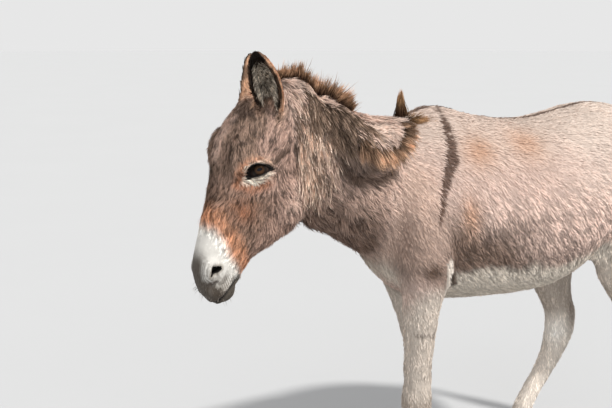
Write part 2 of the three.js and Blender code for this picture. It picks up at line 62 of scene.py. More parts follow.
def middle(node):
    low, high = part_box(node)
    return (np.array(low) + np.array(high)) / 2


EYES = {1: middle("left_eye"), -1: middle("right_eye")}
POLL = (EYES[1] + EYES[-1]) / 2 - EYE_AT[1] * ALONG - EYE_AT[2] * DORSAL
OFFSET = POLL - OWN_POLL  # from the animal's own frame to the row's


def in_head(points):
    """Side, along and dorsal of points given in the animal's own frame."""
    d = points - OWN_POLL
    return d[:, 0], d @ ALONG, d @ DORSAL


def from_head(side, along, dorsal):
    return OWN_POLL + side * SIDE + along * ALONG + dorsal * DORSAL


def folded(points):
    """Places of both sides of the animal laid over each other, so that x is never below 0."""
    return np.stack([np.abs(points[:, 0]), points[:, 1], points[:, 2]], axis=1)


def on_face(points):
    """Places in the head's frame, with both sides of the face laid over each other."""
    return folded(np.stack(in_head(points), axis=1))


# ---- Small numeric helpers ----
def smooth(a, b, x):
    """0 below a, 1 above b, and an even ramp between. a may be larger than b."""
    t = np.clip((x - a) / (b - a), 0, 1)
    return t * t * (3 - 2 * t)


def unit(v):
    return v / np.maximum(np.linalg.norm(v, axis=-1, keepdims=True), 1e-9)


LATTICE = rng.random((4, 24, 24, 24))


def noise(points, size, layer=0):
    """Smooth random values from -1 to 1 that change over about this size."""
    grid = LATTICE[layer]
    n = grid.shape[0]
    q = points / size + 7.3
    cell = np.floor(q).astype(int)
    f = q - cell
    f = f * f * (3 - 2 * f)
    value = np.zeros(len(points))
    for corner in range(8):
        step = np.array([corner & 1, corner >> 1 & 1, corner >> 2])
        weight = np.prod(np.where(step, f, 1 - f), axis=1)
        i = (cell + step) % n
        value += weight * grid[i[:, 0], i[:, 1], i[:, 2]]
    return value * 2 - 1


def hump(points, centre, radius):
    """A soft hump, 1 at its centre and near 0 past its radius. radius is a number or three of them."""
    d = (points - np.asarray(centre)) / np.asarray(radius)
    return np.exp(-2.5 * (d * d).sum(axis=1))


def nearest_on(points, path):
    """Distance from points to a path of straight stretches, and how far along it that is, from 0 to 1.

    The path is in millimetres, as paths are throughout, and the distance in metres."""
    path = np.asarray(path, float) / 1000
    steps = np.linalg.norm(np.diff(path, axis=0), axis=1)
    starts = np.concatenate([[0], np.cumsum(steps)])
    best = np.full(len(points), 1e9)
    place = np.zeros(len(points))
    for a, b, start, step in zip(path[:-1], path[1:], starts, steps):
        t = np.clip((points - a) @ (b - a) / step**2, 0, 1)
        d = np.linalg.norm(points - a - t[:, None] * (b - a), axis=1)
        closer = d < best
        best[closer] = d[closer]
        place[closer] = (start + t[closer] * step) / starts[-1]
    return best, place


# ---- Meshes as arrays ----
def new_object(name, verts, faces, loops_per_face):
    """A mesh object from arrays. faces is flat, with the same number of corners in each face."""
    mesh = bpy.data.meshes.new(name)
    count = len(faces) // loops_per_face
    mesh.vertices.add(len(verts))
    mesh.vertices.foreach_set("co", np.ascontiguousarray(verts, np.float32).ravel())
    mesh.loops.add(len(faces))
    mesh.loops.foreach_set("vertex_index", np.ascontiguousarray(faces, np.int32))
    mesh.polygons.add(count)
    mesh.polygons.foreach_set("loop_start", np.arange(0, len(faces), loops_per_face, dtype=np.int32))
    mesh.update(calc_edges=True)
    obj = bpy.data.objects.new(name, mesh)
    bpy.context.scene.collection.objects.link(obj)
    return obj


def vertices_of(mesh):
    flat = np.empty(len(mesh.vertices) * 3, np.float32)
    mesh.vertices.foreach_get("co", flat)
    return flat.reshape(-1, 3).astype(float)


def triangles_of(mesh):
    mesh.calc_loop_triangles()
    flat = np.empty(len(mesh.loop_triangles) * 3, np.int32)
    mesh.loop_triangles.foreach_get("vertices", flat)
    return flat.reshape(-1, 3)


def edges_of(mesh):
    flat = np.empty(len(mesh.edges) * 2, np.int32)
    mesh.edges.foreach_get("vertices", flat)
    return flat.reshape(-1, 2)


def normals_of(verts, tris):
    a, b, c = (verts[tris[:, k]] for k in range(3))
    face = np.cross(b - a, c - a)
    out = np.zeros_like(verts)
    for k in range(3):
        for axis in range(3):
            out[:, axis] += np.bincount(tris[:, k], face[:, axis], len(verts))
    return unit(out)


def averager(edges, count):
    """A function that gives each vertex the mean of its neighbours' values."""
    degree = np.maximum(np.bincount(edges.ravel(), minlength=count), 1)
    a, b = edges.T

    def average(values):
        flat = values.reshape(count, -1)
        out = np.empty_like(flat)
        for k in range(flat.shape[1]):
            column = flat[:, k]
            out[:, k] = np.bincount(a, column[b], count) + np.bincount(b, column[a], count)
        return (out / degree[:, None]).reshape(values.shape)

    return average


# ---- The skin ----
FLESH = {
    "trunk": ["trunk"],
    "neck": ["neck"],
    "head": ["head", "lower_jaw"],
    "ear": ["left_ear", "right_ear"],
    "tail": ["tail"],
    "leg": [f"{leg}_leg_{part}" for leg in LEGS for part in ("upper", "lower")],
}
REGIONS = list(FLESH)
VOXEL = 0.0118  # size of the remeshed cells on the body
HEAD_DETAIL = 2.95  # how many times finer the cells are on the head
DETAIL_FROM = -0.56  # own y where the cells begin to shrink, and where they are smallest
DETAIL_TO = -0.72
DETAIL_LEVEL = 1.0  # own z about which the head is magnified
LID_BALL = EYE_RADIUS + 0.0045

MAP_Y = np.linspace(-1.2, 0.9, 4001)
MAP_SCALE = 1 + (HEAD_DETAIL - 1) * smooth(DETAIL_FROM, DETAIL_TO, MAP_Y)
MAP_TO = np.concatenate([[0], np.cumsum((MAP_SCALE[1:] + MAP_SCALE[:-1]) / 2 * np.diff(MAP_Y))])


def magnified(own):
    """Stretches the head end of the body, so that even cells come out finer there."""
    s = np.interp(own[:, 1], MAP_Y, MAP_SCALE)
    level = DETAIL_LEVEL + (own[:, 2] - DETAIL_LEVEL) * s
    return np.stack([own[:, 0] * s, np.interp(own[:, 1], MAP_Y, MAP_TO), level], axis=1)


def reduced(stretched):
    """Undoes magnified."""
    y = np.interp(stretched[:, 1], MAP_TO, MAP_Y)
    s = np.interp(y, MAP_Y, MAP_SCALE)
    level = DETAIL_LEVEL + (stretched[:, 2] - DETAIL_LEVEL) / s
    return np.stack([stretched[:, 0] / s, y, level], axis=1)


def ball(centre, radius):
    """A sphere's vertices and triangles, to fill a socket before the remesh."""
    bm = bmesh.new()
    bmesh.ops.create_icosphere(bm, subdivisions=3, radius=radius)
    verts = np.array([v.co[:] for v in bm.verts]) + centre
    tris = np.array([[v.index for v in f.verts] for f in bm.faces])
    bm.free()
    return verts, tris


def flesh_shells():
    """The flesh solids in the animal's own frame: vertices, triangles and each triangle's region."""
    verts, tris, regions, start = [], [], [], 0
    for region, nodes in FLESH.items():
        for node in nodes:
            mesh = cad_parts[node].data
            verts.append(vertices_of(mesh) - OFFSET)
            tris.append(triangles_of(mesh) + start)
            regions += [REGIONS.index(region)] * len(tris[-1])
            start += len(verts[-1])
    return np.concatenate(verts), np.concatenate(tris), np.array(regions)


def flesh_as_one(verts, tris):
    """The shells and two balls for the eyes, magnified, as one object."""
    start = len(verts)
    for centre in EYES.values():
        v, t = ball(centre - OFFSET, LID_BALL)
        verts = np.concatenate([verts, v])
        tris = np.concatenate([tris, t + start])
        start += len(v)
    obj = new_object("flesh", verts, tris.ravel(), 3)
    bm = bmesh.new()
    bm.from_mesh(obj.data)
    # Long edges are cut up first, so that the stretch can bend them.
    long_edges = [e for e in bm.edges if e.calc_length() > 0.03 and min(v.co.y for v in e.verts) < -0.4]
    bmesh.ops.subdivide_edges(bm, edges=long_edges, cuts=3)
    bmesh.ops.triangulate(bm, faces=bm.faces)
    bm.to_mesh(obj.data)
    bm.free()
    obj.data.vertices.foreach_set("co", magnified(vertices_of(obj.data)).astype(np.float32).ravel())
    return obj


def remeshed(obj, size):
    modifier = obj.modifiers.new("cells", "REMESH")
    modifier.mode = "VOXEL"
    modifier.voxel_size = size
    depsgraph = bpy.context.evaluated_depsgraph_get()
    mesh = bpy.data.meshes.new_from_object(obj.evaluated_get(depsgraph))
    bpy.data.objects.remove(obj)
    return mesh


def keep_largest(mesh):
    """Removes the small closed shells that the cuts between solids may leave inside."""
    edges = edges_of(mesh)
    label = np.arange(len(mesh.vertices))
    while True:
        low = np.minimum(label[edges[:, 0]], label[edges[:, 1]])
        fresh = label.copy()
        np.minimum.at(fresh, edges[:, 0], low)
        np.minimum.at(fresh, edges[:, 1], low)
        fresh = fresh[fresh]
        if (fresh == label).all():
            break
        label = fresh
    values, counts = np.unique(label, return_counts=True)
    strays = np.nonzero(label != values[counts.argmax()])[0]
    if len(strays) == 0:
        return
    bm = bmesh.new()
    bm.from_mesh(mesh)
    bm.verts.ensure_lookup_table()
    bmesh.ops.delete(bm, geom=[bm.verts[i] for i in strays], context="VERTS")
    bm.to_mesh(mesh)
    bm.free()


def region_shares(verts, average, shells):
    """How much each vertex belongs to each region: 0 or 1, but soft across the joins."""
    flesh, tris, regions = shells
    tree = BVHTree.FromPolygons(flesh.tolist(), tris.tolist())
    nearest = [tree.find_nearest(v)[2] for v in verts.tolist()]
    shares = np.eye(len(REGIONS))[regions[nearest]]
    for _ in range(14):
        shares = (shares + average(shares)) / 2
    return shares


def relaxed(verts, average, weight, reach, rounds):
    """Smooths shapes finer than about the reach, in cells, and keeps the volume of what is larger."""
    def blurred(v):
        for _ in range(reach):
            v = (v + average(v)) / 2
        return v

    for _ in range(rounds):
        once = blurred(verts)
        verts = verts + weight[:, None] * (2 * once - blurred(once) - verts)
    return verts


def share(shares, *names):
    return shares[:, [REGIONS.index(n) for n in names]].sum(axis=1)


def relax_body(verts, average, shares):
    muzzle = smooth(0.40, 0.46, in_head(verts)[1]) * share(shares, "head")
    verts = relaxed(verts, average, share(shares, "trunk", "neck"), 12, 4)
    verts = relaxed(verts, average, share(shares, "leg", "tail"), 6, 4)
    verts = relaxed(verts, average, share(shares, "head") * (1 - 0.6 * muzzle), 8, 3)
    return relaxed(verts, average, np.ones(len(verts)), 2, 3)


# How far the skin lies inside the flesh solids, whose outsides are at the tips of the coat.
COAT_DEPTH = {"trunk": 0.0030, "neck": 0.0045, "head": 0.0025, "ear": 0.0010, "tail": 0.004, "leg": 0.0025}
MUZZLE_DEPTH = 0.0008


def coat_depth(verts, shares):
    depth = shares @ np.array([COAT_DEPTH[r] for r in REGIONS])
    bare = share(shares, "head") * smooth(0.38, 0.46, in_head(verts)[1])
    depth = depth + (MUZZLE_DEPTH - depth) * bare
    for sign in (1, -1):
        near_eye = hump(verts, EYES[sign] - OFFSET, 0.045)
        depth = depth * (1 - smooth(0.1, 0.5, near_eye) * 0.8)
    return depth


# ---- Relief: bones, muscles, folds and wrinkles, in millimetres ----
# Each stroke is a path, its half-width, and its height, or its depth where that is negative.
# In the head's frame: side, along, dorsal. Both sides of the face have them.
FACE_STROKES = [
    ([(60, 172, 34), (64, 205, 40), (60, 238, 40)], 14, 3.5),  # brow
    ([(74, 158, -22), (68, 150, 14)], 15, -6),  # hollow behind the brow
    ([(84, 196, -38), (84, 165, -48), (78, 128, -50), (70, 96, -40)], 11, 3.5),  # cheek arch
    ([(80, 258, -42), (74, 318, -50), (62, 372, -50)], 9, 4),  # facial crest
    ([(66, 300, -72), (62, 330, -110), (48, 350, -150)], 13, -4),  # front edge of the cheek muscle
    ([(42, 270, 62), (34, 350, 50), (26, 430, 44)], 9, 2),  # edge of the nose bone
    ([(58, 290, 18), (50, 360, 12), (46, 430, 6)], 22, -4),  # hollow between nose and crest
    ([(82, 248, -6), (76, 290, -14), (68, 330, -34)], 3.5, 1.4),  # vein
    ([(62, 330, -40), (56, 385, -66), (44, 430, -84)], 4, 1.2),
    ([(0, 190, -200), (0, 290, -205), (0, 400, -135)], 22, -7),  # between the jaw bones
    ([(30, 360, -168), (30, 410, -120), (28, 450, -98)], 9, 3),  # lower edge of the jaw
    ([(61, 459, -29), (58, 474, -38)], 3, -3),  # crease behind the lips
    ([(50, 510, -12), (46, 524, -8), (38, 536, -2)], 3.2, -3.5),  # fold under the nostril
    ([(38, 470, 34), (36, 492, 38), (38, 512, 34), (42, 524, 18)], 3.2, -1.6),  # folds before the nostril
    ([(28, 476, 44), (26, 500, 42), (29, 522, 32), (34, 538, 14)], 3.2, -1.4),
    ([(64, 40, -74), (62, 86, -118), (71, 140, -153), (66, 208, -196)], 9, -6),  # behind the jaw
    ([(0, 96, 74), (0, 180, 92)], 26, 2.5),  # forehead
]
# In the animal's own frame. Both sides of the body have them.
BODY_STROKES = [
    ([(52, -672, 1175), (66, -655, 1110), (74, -640, 1045), (76, -622, 975)], 5, -4.5),  # neck folds
    ([(58, -652, 1160), (72, -634, 1096), (78, -612, 1030), (84, -584, 960)], 4.5, -4),
    ([(66, -630, 1140), (80, -612, 1078), (84, -588, 1010), (88, -556, 945)], 5, -4),
    ([(64, -640, 1040), (80, -604, 975), (92, -560, 905)], 5, -2.5),
    ([(70, -690, 1040), (70, -665, 960), (64, -640, 905)], 7, -3.5),
    ([(58, -628, 925), (76, -560, 868), (98, -490, 815), (112, -452, 775)], 15, -6),  # groove of the vein
    ([(112, -452, 1000), (128, -452, 905), (132, -445, 830), (118, -440, 770)], 20, -6),  # at the shoulder
    ([(128, -330, 1080), (146, -400, 960), (150, -428, 862)], 16, 3.5),  # shoulder blade
    ([(0, -492, 850), (0, -470, 760), (0, -420, 690)], 16, -8),  # between the chest muscles
    ([(165, -268, 700), (178, -300, 770), (176, -312, 840)], 16, -7),  # behind the elbow
    ([(182, -350, 850), (186, -330, 780)], 30, 4),  # muscle over the elbow
    ([(205, 150, 1030), (226, 175, 960)], 42, -9),  # flank hollow
    ([(150, 205, 1118), (182, 215, 1082)], 24, 6),  # hip
    ([(214, 200, 880), (214, 232, 800), (196, 250, 740)], 20, 5),  # fold of the flank
    ([(192, 395, 1020), (204, 420, 900), (190, 440, 780)], 18, -3.5),  # between the thigh muscles
    ([(60, 520, 1060), (96, 540, 980), (100, 545, 880)], 16, -3),
    ([(0, 565, 960), (0, 560, 850), (0, 520, 740)], 16, -9),  # between the thighs
]
# On the left side only: the crest that has fallen over.
CREST_STROKES = [
    ([(72, -640, 1120), (88, -622, 1072), (94, -592, 1020), (96, -560, 992)], 13, -9),
    ([(96, -560, 992), (112, -510, 990), (118, -470, 1012), (112, -438, 1050)], 13, -11),
    ([(78, -600, 1110), (98, -566, 1040), (112, -505, 1030), (106, -452, 1072)], 20, 7),
    ([(40, -560, 1150), (60, -500, 1128), (48, -440, 1132)], 26, 3),
]


def stroked(points, strokes):
    """The height of strokes, in metres, at points given in their frame."""
    total = np.zeros(len(points))
    for path, half, height in strokes:
        distance, place = nearest_on(points, path)
        ends = smooth(-0.02, 0.18, place) * smooth(1.02, 0.82, place) if len(path) > 2 else 1
        total += height / 1000 * ends * np.exp(-((distance * 1000 / half) ** 2))
    return total


MOUTH_CORNER = (0.474, -0.067)  # along and dorsal
MOUTH_SLOPE = 0.30


def from_mouth(along, dorsal):
    """Distance above the line of the mouth, and how surely a place is ahead of its corner."""
    corner_along, corner_dorsal = MOUTH_CORNER
    rise = dorsal - corner_dorsal - MOUTH_SLOPE * (along - corner_along)
    return rise / math.hypot(1, MOUTH_SLOPE), smooth(corner_along - 0.004, corner_along + 0.010, along)


def lip_relief(verts):
    _, along, dorsal = in_head(verts)
    above, ahead = from_mouth(along, dorsal)
    slit = -0.0085 * np.exp(-((above / 0.0026) ** 2))
    lips = 0.0025 * (np.exp(-(((above - 0.009) / 0.006) ** 2)) + np.exp(-(((above + 0.008) / 0.005) ** 2)))
    wrinkled = smooth(0.001, 0.004, above) * smooth(0.024, 0.012, above) * smooth(0.56, 0.53, along)
    wrinkles = 0.0007 * np.sin(along / 0.0009 + 2 * noise(verts, 0.012)) * wrinkled
    crinkle = 0.0008 * noise(verts, 0.006, 1) * smooth(0.48, 0.53, along)
    return (slit + lips + wrinkles) * ahead + crinkle


def relief(verts):
    head = smooth(-0.655, -0.675, verts[:, 1])
    height = (stroked(on_face(verts), FACE_STROKES) + lip_relief(verts)) * head
    return height + stroked(folded(verts), BODY_STROKES) + stroked(verts, CREST_STROKES)


# ---- Openings in the skin: the eyes and the nostrils ----
def axes_of(outward, ahead):
    """Three unit vectors: ahead made square to outward, up, and outward."""
    w = unit(np.array(outward, float))
    u = np.array(ahead, float)
    u = unit(u - (u @ w) * w)
    return u, np.cross(w, u), w


MIRROR = np.array([-1.0, 1.0, 1.0])
EYE_OUT = np.array([0.90, -0.36, 0.22])  # where the left eye looks
EYE_BACK = np.array([0.39, 0.85, 0.34])  # from its inner corner to its outer one


def eye_axes(sign):
    u, v, w = axes_of(EYE_OUT, EYE_BACK)
    return (u, v, w) if sign > 0 else (u * MIRROR, v * MIRROR, w * MIRROR)


LID_INNER, LID_OUTER = -0.037, 0.033  # the corners, along the eye's own u
LID_LEVEL = -0.007  # of both corners, along its v
LID_RISE = 0.0225  # of the upper lid's edge over the corners
LID_FALL = 0.0060  # of the lower lid's edge under them
LID_SKEW = 0.80  # below 1, the upper lid is highest towards the inner corner
LID_MIDDLE = np.array([-0.003, 0.0])  # rings round the opening run about this place


def reach_from(outline, middle):
    """A function that gives the distance from the middle to a closed outline for any angle."""
    d = outline - middle
    angle = np.arctan2(d[:, 1], d[:, 0])
    order = np.argsort(angle)
    angle, radius = angle[order], np.hypot(d[:, 0], d[:, 1])[order]
    return lambda a: np.interp(a, angle, radius, period=2 * np.pi)


def lid_outline():
    t = np.linspace(0, 1, 60)
    u = LID_INNER + (LID_OUTER - LID_INNER) * t
    upper = LID_LEVEL + LID_RISE * np.sin(np.pi * t**LID_SKEW) ** 1.05
    lower = LID_LEVEL - LID_FALL * np.sin(np.pi * t) ** 0.8
    return np.concatenate([np.stack([u, upper], axis=1), np.stack([u, lower], axis=1)[-2:0:-1]])


lid_reach = reach_from(lid_outline(), LID_MIDDLE)

NOSTRILS = {}  # the middle and axes of each nostril, kept when it is cut
NOSTRIL_AT = (0.050, 0.492, 0.011)
NOSTRIL_HALF = (0.0175, 0.0100)  # along the slit and across it


def nostril_outline():
    """A comma: blunt at its upper end, drawn out and bent at its lower one."""
    a = np.linspace(-np.pi, np.pi, 80, endpoint=False)
    along = NOSTRIL_HALF[0] * np.cos(a)
    blunt = 0.72 + 0.34 * np.cos(a)
    bend = 0.0035 * (along / NOSTRIL_HALF[0]) ** 2
    return np.stack([along, NOSTRIL_HALF[1] * np.sin(a) * blunt - bend], axis=1)


nostril_reach = reach_from(nostril_outline(), np.zeros(2))


def ordered_rim(bm, faces):
    """Deletes faces and gives the vertices round the hole they leave, in order."""
    edges = dict.fromkeys(e for f in faces for e in f.edges)  # each edge once, in order
    inside = set(faces)
    rim = [e for e in edges if sum(f in inside for f in e.link_faces) == 1]
    ahead = {}
    for e in rim:
        for v in e.verts:
            ahead.setdefault(v, []).append(e.other_vert(v))
    start = rim[0].verts[0]
    loop, last, here = [start], None, start
    while True:
        step = next(v for v in ahead[here] if v is not last)
        if step is start:
            break
        loop.append(step)
        last, here = here, step
    bmesh.ops.delete(bm, geom=faces, context="FACES")
    return loop


def connected(faces, first):
    """The faces that can be reached from the first one, in the order in which they are reached."""
    waiting, found = set(faces) - {first}, [first]
    for face in found:
        for e in face.edges:
            for f in e.link_faces:
                if f in waiting:
                    waiting.remove(f)
                    found.append(f)
    return found


def flat_on(point, centre, axes):
    """A point along each of three axes from a centre."""
    d = np.asarray(point) - centre
    return [d @ axis for axis in axes]


def patch_rim(bm, centre, axes, cut):
    """Cuts a rounded patch out of the skin and gives the vertices round the hole, anticlockwise."""
    patch = []
    for f in bm.faces:
        x, y, z = flat_on(f.calc_center_median(), centre, axes)
        if (x / cut[0]) ** 2 + (y / cut[1]) ** 2 < 1 and abs(z) < 0.05 and np.dot(f.normal, axes[2]) > 0.05:
            patch.append(f)

    def off_centre(f):
        x, y, _ = flat_on(f.calc_center_median(), centre, axes)
        return x * x + y * y

    loop = ordered_rim(bm, connected(patch, min(patch, key=off_centre)))
    outer = np.array([flat_on(p.co, centre, axes) for p in loop])
    turn = np.unwrap(np.arctan2(outer[:, 1], outer[:, 0]))
    if turn[-1] < turn[0]:
        loop.reverse()
        outer = outer[::-1]
    return loop, outer[:, :2]


def add_ring(bm, before, points):
    """Joins a ring of new vertices to the ring before it."""
    ring = [bm.verts.new(p) for p in points]
    for k in range(len(ring)):
        n = (k + 1) % len(ring)
        bm.faces.new((before[k], before[n], ring[n], ring[k]))
    return ring


def open_skin(bm, tree, centre, axes, cut, reach, rings, lift, inner):
    """Replaces the skin round an opening with rings that follow its outline.

    cut is half the size of the patch that goes. reach gives the opening's edge for an angle.
    lift(distance, angle) raises the skin at a distance outside the edge. inner lists the rings that turn
    inwards, as (scale of the outline, depth from the edge along the axis)."""
    u, v, w = axes
    ring, outer = patch_rim(bm, centre, axes, cut)
    angle = np.arctan2(outer[:, 1], outer[:, 0])
    edge = np.stack([np.cos(angle), np.sin(angle)], axis=1) * reach(angle)[:, None]
    for t in rings:
        points = []
        for (x, y), a in zip(outer * (1 - t) + edge * t, angle):
            outside = centre + x * u + y * v + w * 0.08
            hit = tree.ray_cast(outside.tolist(), (-w).tolist())[0]
            distance = math.hypot(x, y) - reach(np.array([a]))[0]
            points.append(np.array(hit) + w * lift(distance, a))
        ring = add_ring(bm, ring, points)
    edge_height = np.array([flat_on(p, centre, axes)[2] for p in points])
    for scale, depth in inner:
        evened = min(1, depth / 0.02)
        heights = edge_height * (1 - evened) + edge_height.mean() * evened - depth
        flat = np.outer(edge[:, 0] * scale, u) + np.outer(edge[:, 1] * scale, v)
        ring = add_ring(bm, ring, centre + flat + np.outer(heights, w))
    bottom = bm.verts.new(np.mean([p.co for p in ring], axis=0))
    for k in range(len(ring)):
        bm.faces.new((ring[k], ring[(k + 1) % len(ring)], bottom))


def lid_folds(distance, angle):
    """The lids' thick edge, and the folds of loose skin that follow it."""
    upper = 0.5 + 0.5 * math.sin(angle)
    edge = 0.0008 * math.exp(-((distance - 0.0015) / 0.0018) ** 2)
    fold = -0.0030 * upper * math.exp(-((distance - 0.0085) / 0.0020) ** 2)
    roll = 0.0022 * upper * math.exp(-((distance - 0.0125) / 0.0030) ** 2)
    second = -0.0012 * math.exp(-((distance - 0.0165) / 0.0020) ** 2)
    below = -0.0016 * (1 - upper) * math.exp(-((distance - 0.0065) / 0.0016) ** 2)
    return edge + fold + roll + second + below


def nostril_flare(distance, angle):
    """The thick wing of the nostril, on its upper and outer side."""
    wing = 0.5 + 0.5 * math.sin(angle)
    return (0.0012 + 0.0022 * wing) * math.exp(-((distance - 0.004) / 0.004) ** 2)


LID_RINGS = [0.12, 0.25, 0.38, 0.50, 0.58, 0.65, 0.71, 0.77, 0.82, 0.87, 0.91, 0.95, 0.98, 1.0]
LID_CUT = (0.052, 0.038)
# The eye is inside: the lids' edge goes down to its surface, then inwards behind it.
LID_INNER_RINGS = [(1.0, 0.0012), (0.97, 0.0026), (0.94, 0.0045), (0.8, 0.010), (0.4, 0.016)]
NOSTRIL_RINGS = [0.25, 0.5, 0.7, 0.85, 1.0]
NOSTRIL_CUT = (0.028, 0.018)
NOSTRIL_INNER_RINGS = [(0.92, 0.0015), (0.85, 0.004), (0.8, 0.009), (0.7, 0.015), (0.45, 0.020)]


def cut_eye(bm, tree, sign):
    axes = eye_axes(sign)
    middle = EYES[sign] - OFFSET + LID_MIDDLE[0] * axes[0] + LID_MIDDLE[1] * axes[1]
    open_skin(bm, tree, middle, axes, LID_CUT, lid_reach, LID_RINGS, lid_folds, LID_INNER_RINGS)


def nostril_frame(tree, verts, normals, sign):
    """The place on the skin of one nostril's middle, and its axes."""
    side, along, dorsal = NOSTRIL_AT
    spot = from_head(side * sign, along, dorsal)
    outward = unit(np.array([0.80 * sign, 0, 0]) + 0.45 * DORSAL + 0.35 * ALONG)
    hit = np.array(tree.ray_cast((spot + outward * 0.05).tolist(), (-outward).tolist())[0])
    near = np.linalg.norm(verts - hit, axis=1) < 0.014
    u, v, w = axes_of(unit(normals[near].mean(axis=0)), -0.88 * ALONG - 0.47 * DORSAL)
    return hit, (u, v * sign, w)


def cut_openings(mesh):
    verts = vertices_of(mesh)
    tris = triangles_of(mesh)
    tree = BVHTree.FromPolygons(verts.tolist(), tris.tolist())
    normals = normals_of(verts, tris)
    bm = bmesh.new()
    bm.from_mesh(mesh)
    for sign in (1, -1):
        cut_eye(bm, tree, sign)
    for sign in (1, -1):
        hit, axes = nostril_frame(tree, verts, normals, sign)
        NOSTRILS[sign] = (hit, axes)
        shape = (NOSTRIL_CUT, nostril_reach, NOSTRIL_RINGS, nostril_flare, NOSTRIL_INNER_RINGS)
        open_skin(bm, tree, hit, axes, *shape)
    bmesh.ops.recalc_face_normals(bm, faces=bm.faces)
    bm.to_mesh(mesh)
    bm.free()


def write_vertices(mesh, verts):
    mesh.vertices.foreach_set("co", verts.astype(np.float32).ravel())
    mesh.update()


def finer_lips(mesh):
    """Halves the cells round the mouth and nostrils."""
    _, along, dorsal = in_head(vertices_of(mesh))
    near = (along > 0.462) & (dorsal < 0.040)
    bm = bmesh.new()
    bm.from_mesh(mesh)
    edges = [e for e in bm.edges if near[e.verts[0].index] and near[e.verts[1].index]]
    bmesh.ops.subdivide_edges(bm, edges=edges, cuts=1, use_grid_fill=True)
    bm.to_mesh(mesh)
    bm.free()


def make_skin():
    """The skin's mesh in the animal's own frame, and how much each vertex belongs to each region."""
    shells = flesh_shells()
    mesh = remeshed(flesh_as_one(*shells[:2]), VOXEL)
    keep_largest(mesh)
    verts = reduced(vertices_of(mesh))
    average = averager(edges_of(mesh), len(verts))
    shares = region_shares(verts, average, shells)
    verts = relax_body(verts, average, shares)
    normals = normals_of(verts, triangles_of(mesh))
    write_vertices(mesh, verts - normals * coat_depth(verts, shares)[:, None])
    finer_lips(mesh)
    verts = vertices_of(mesh)
    normals = normals_of(verts, triangles_of(mesh))
    write_vertices(mesh, verts + normals * relief(verts)[:, None])
    cut_openings(mesh)
    verts = vertices_of(mesh)
    return mesh, region_shares(verts, averager(edges_of(mesh), len(verts)), shells)


# ---- Markings: one set of rules colours both the skin and the coat ----
def paint(code):
    """Linear colour from a six-figure sRGB code."""
    value = np.array([int(code[k : k + 2], 16) for k in (0, 2, 4)]) / 255
    return np.where(value <= 0.04045, value / 12.92, ((value + 0.055) / 1.055) ** 2.4)


PAINT = {
    "flank": paint("baa296"),
    "back": paint("b4a195"),
    # darker, warmer brown of the low flank, partly painted shade where the body turns under
    "low_flank": paint("5d4b40"),
    "belly": paint("bdb3a6"),
    "rust": paint("b1805c"),
    "neck": paint("9a8275"),
    # dark hair on the front of the fallen crest; on the roll's lower side partly painted shade
    "crest_front": paint("5b4c43"),
    "plateau": paint("b9a699"),
    # dark brown of the throat and chest, partly painted shade under the head and neck
    "throat": paint("5f4d43"),
    # pale tan of the shoulder; also painted light down the middle of the forehead
    "shoulder": paint("b59b8c"),
    # dark brown of the elbows and the backs of the hocks; on the chest it is partly painted shade
    "elbow": paint("4e3c31"),
    "leg": paint("beb2a6"),
    "hock": paint("e4ded6"),
    "shank": paint("d2c8bd"),
    "fetlock": paint("8d7f72"),
    "stripe": paint("513d33"),
    # the browns of the forehead and the face are darkened, partly as painted shade of the face's front
    "forehead": paint("745f52"),
    "face": paint("6c5547"),
    "cheek": paint("91776a"),
    "face_rust": paint("b17c5b"),
    "eye_rust": paint("965f40"),
    "muzzle": paint("d3cfc8"),
    # dark grey of the nose; also painted shade on the nose's front and in the wrinkles over the lip
    "nose": paint("443a30"),
    "lips": paint("857a6c"),
    "chin": paint("51493f"),
    # black of the lids' edges; also painted shade in the mouth's slit and inside the nostrils
    "lid": paint("14100d"),
    "eye_ring": paint("d8cdbd"),
    "brow": paint("b3937b"),
    # dark brown of the right ear's band; also painted shade in creases, hollows, armpits, under the crest's
    # roll and on the nose bridge
    "dark": paint("3c2f27"),
    "ear_back": paint("b78e70"),
    "ear_rim": paint("1d140e"),
    "ear_skin": paint("3a2c25"),
    "poll": paint("bb957a"),
    "tail": paint("9b8270"),
}

EARS = {  # base, tip and facing of each ear, in millimetres
    1: ((59, -782, 1150), (130, -869, 1323), (0.77, -0.64, 0)),
    -1: ((-58, -811, 1140), (-112, -766, 1312), (-0.8, -0.6, 0)),
}
EAR_PLACE = (0, 0.12, 0.26, 0.42, 0.58, 0.74, 0.87, 0.96, 1)
EAR_MIDDLE = (18.5, 24.5, 30.5, 34.5, 34, 28.5, 21, 12.3, 6)  # radius to the middle of the wall, in mm
EAR_OPEN = (1.1, 1.8, 2.3, 2.5, 2.5, 2.4, 2.3, 2.2, 2.1)  # radians missing from the roll
EAR_BEND = 0.009


def ear_frame(sign):
    """An ear's base, its length, and unit vectors up it, out of its opening and across that."""
    base, tip, faces = (np.array(v, float) for v in EARS[sign])
    length = np.linalg.norm(tip - base)
    axis = (tip - base) / length
    out = unit(faces - (faces @ axis) * axis)
    return base / 1000, length / 1000, axis, out, np.cross(axis, out)


def in_ear(own, sign):
    """Place along an ear, 0 to 1, how far inside its wall's middle, and how near its edge, 0 to 1."""
    base, length, axis, out, across = ear_frame(sign)
    t = (own - base) @ axis / length
    bend = EAR_BEND * np.sin(np.pi * np.clip(t, 0, 1))
    centre = base + np.outer(t, axis) * length - np.outer(bend, out)
    d = own - centre
    x, y = -(d @ out), d @ across
    wall = np.interp(t, EAR_PLACE, EAR_MIDDLE) / 1000
    sweep = np.pi - np.interp(t, EAR_PLACE, EAR_OPEN) / 2
    edge = smooth(sweep - 0.38, sweep - 0.06, np.abs(np.arctan2(y, x)))
    return t, wall - np.hypot(x, y), edge


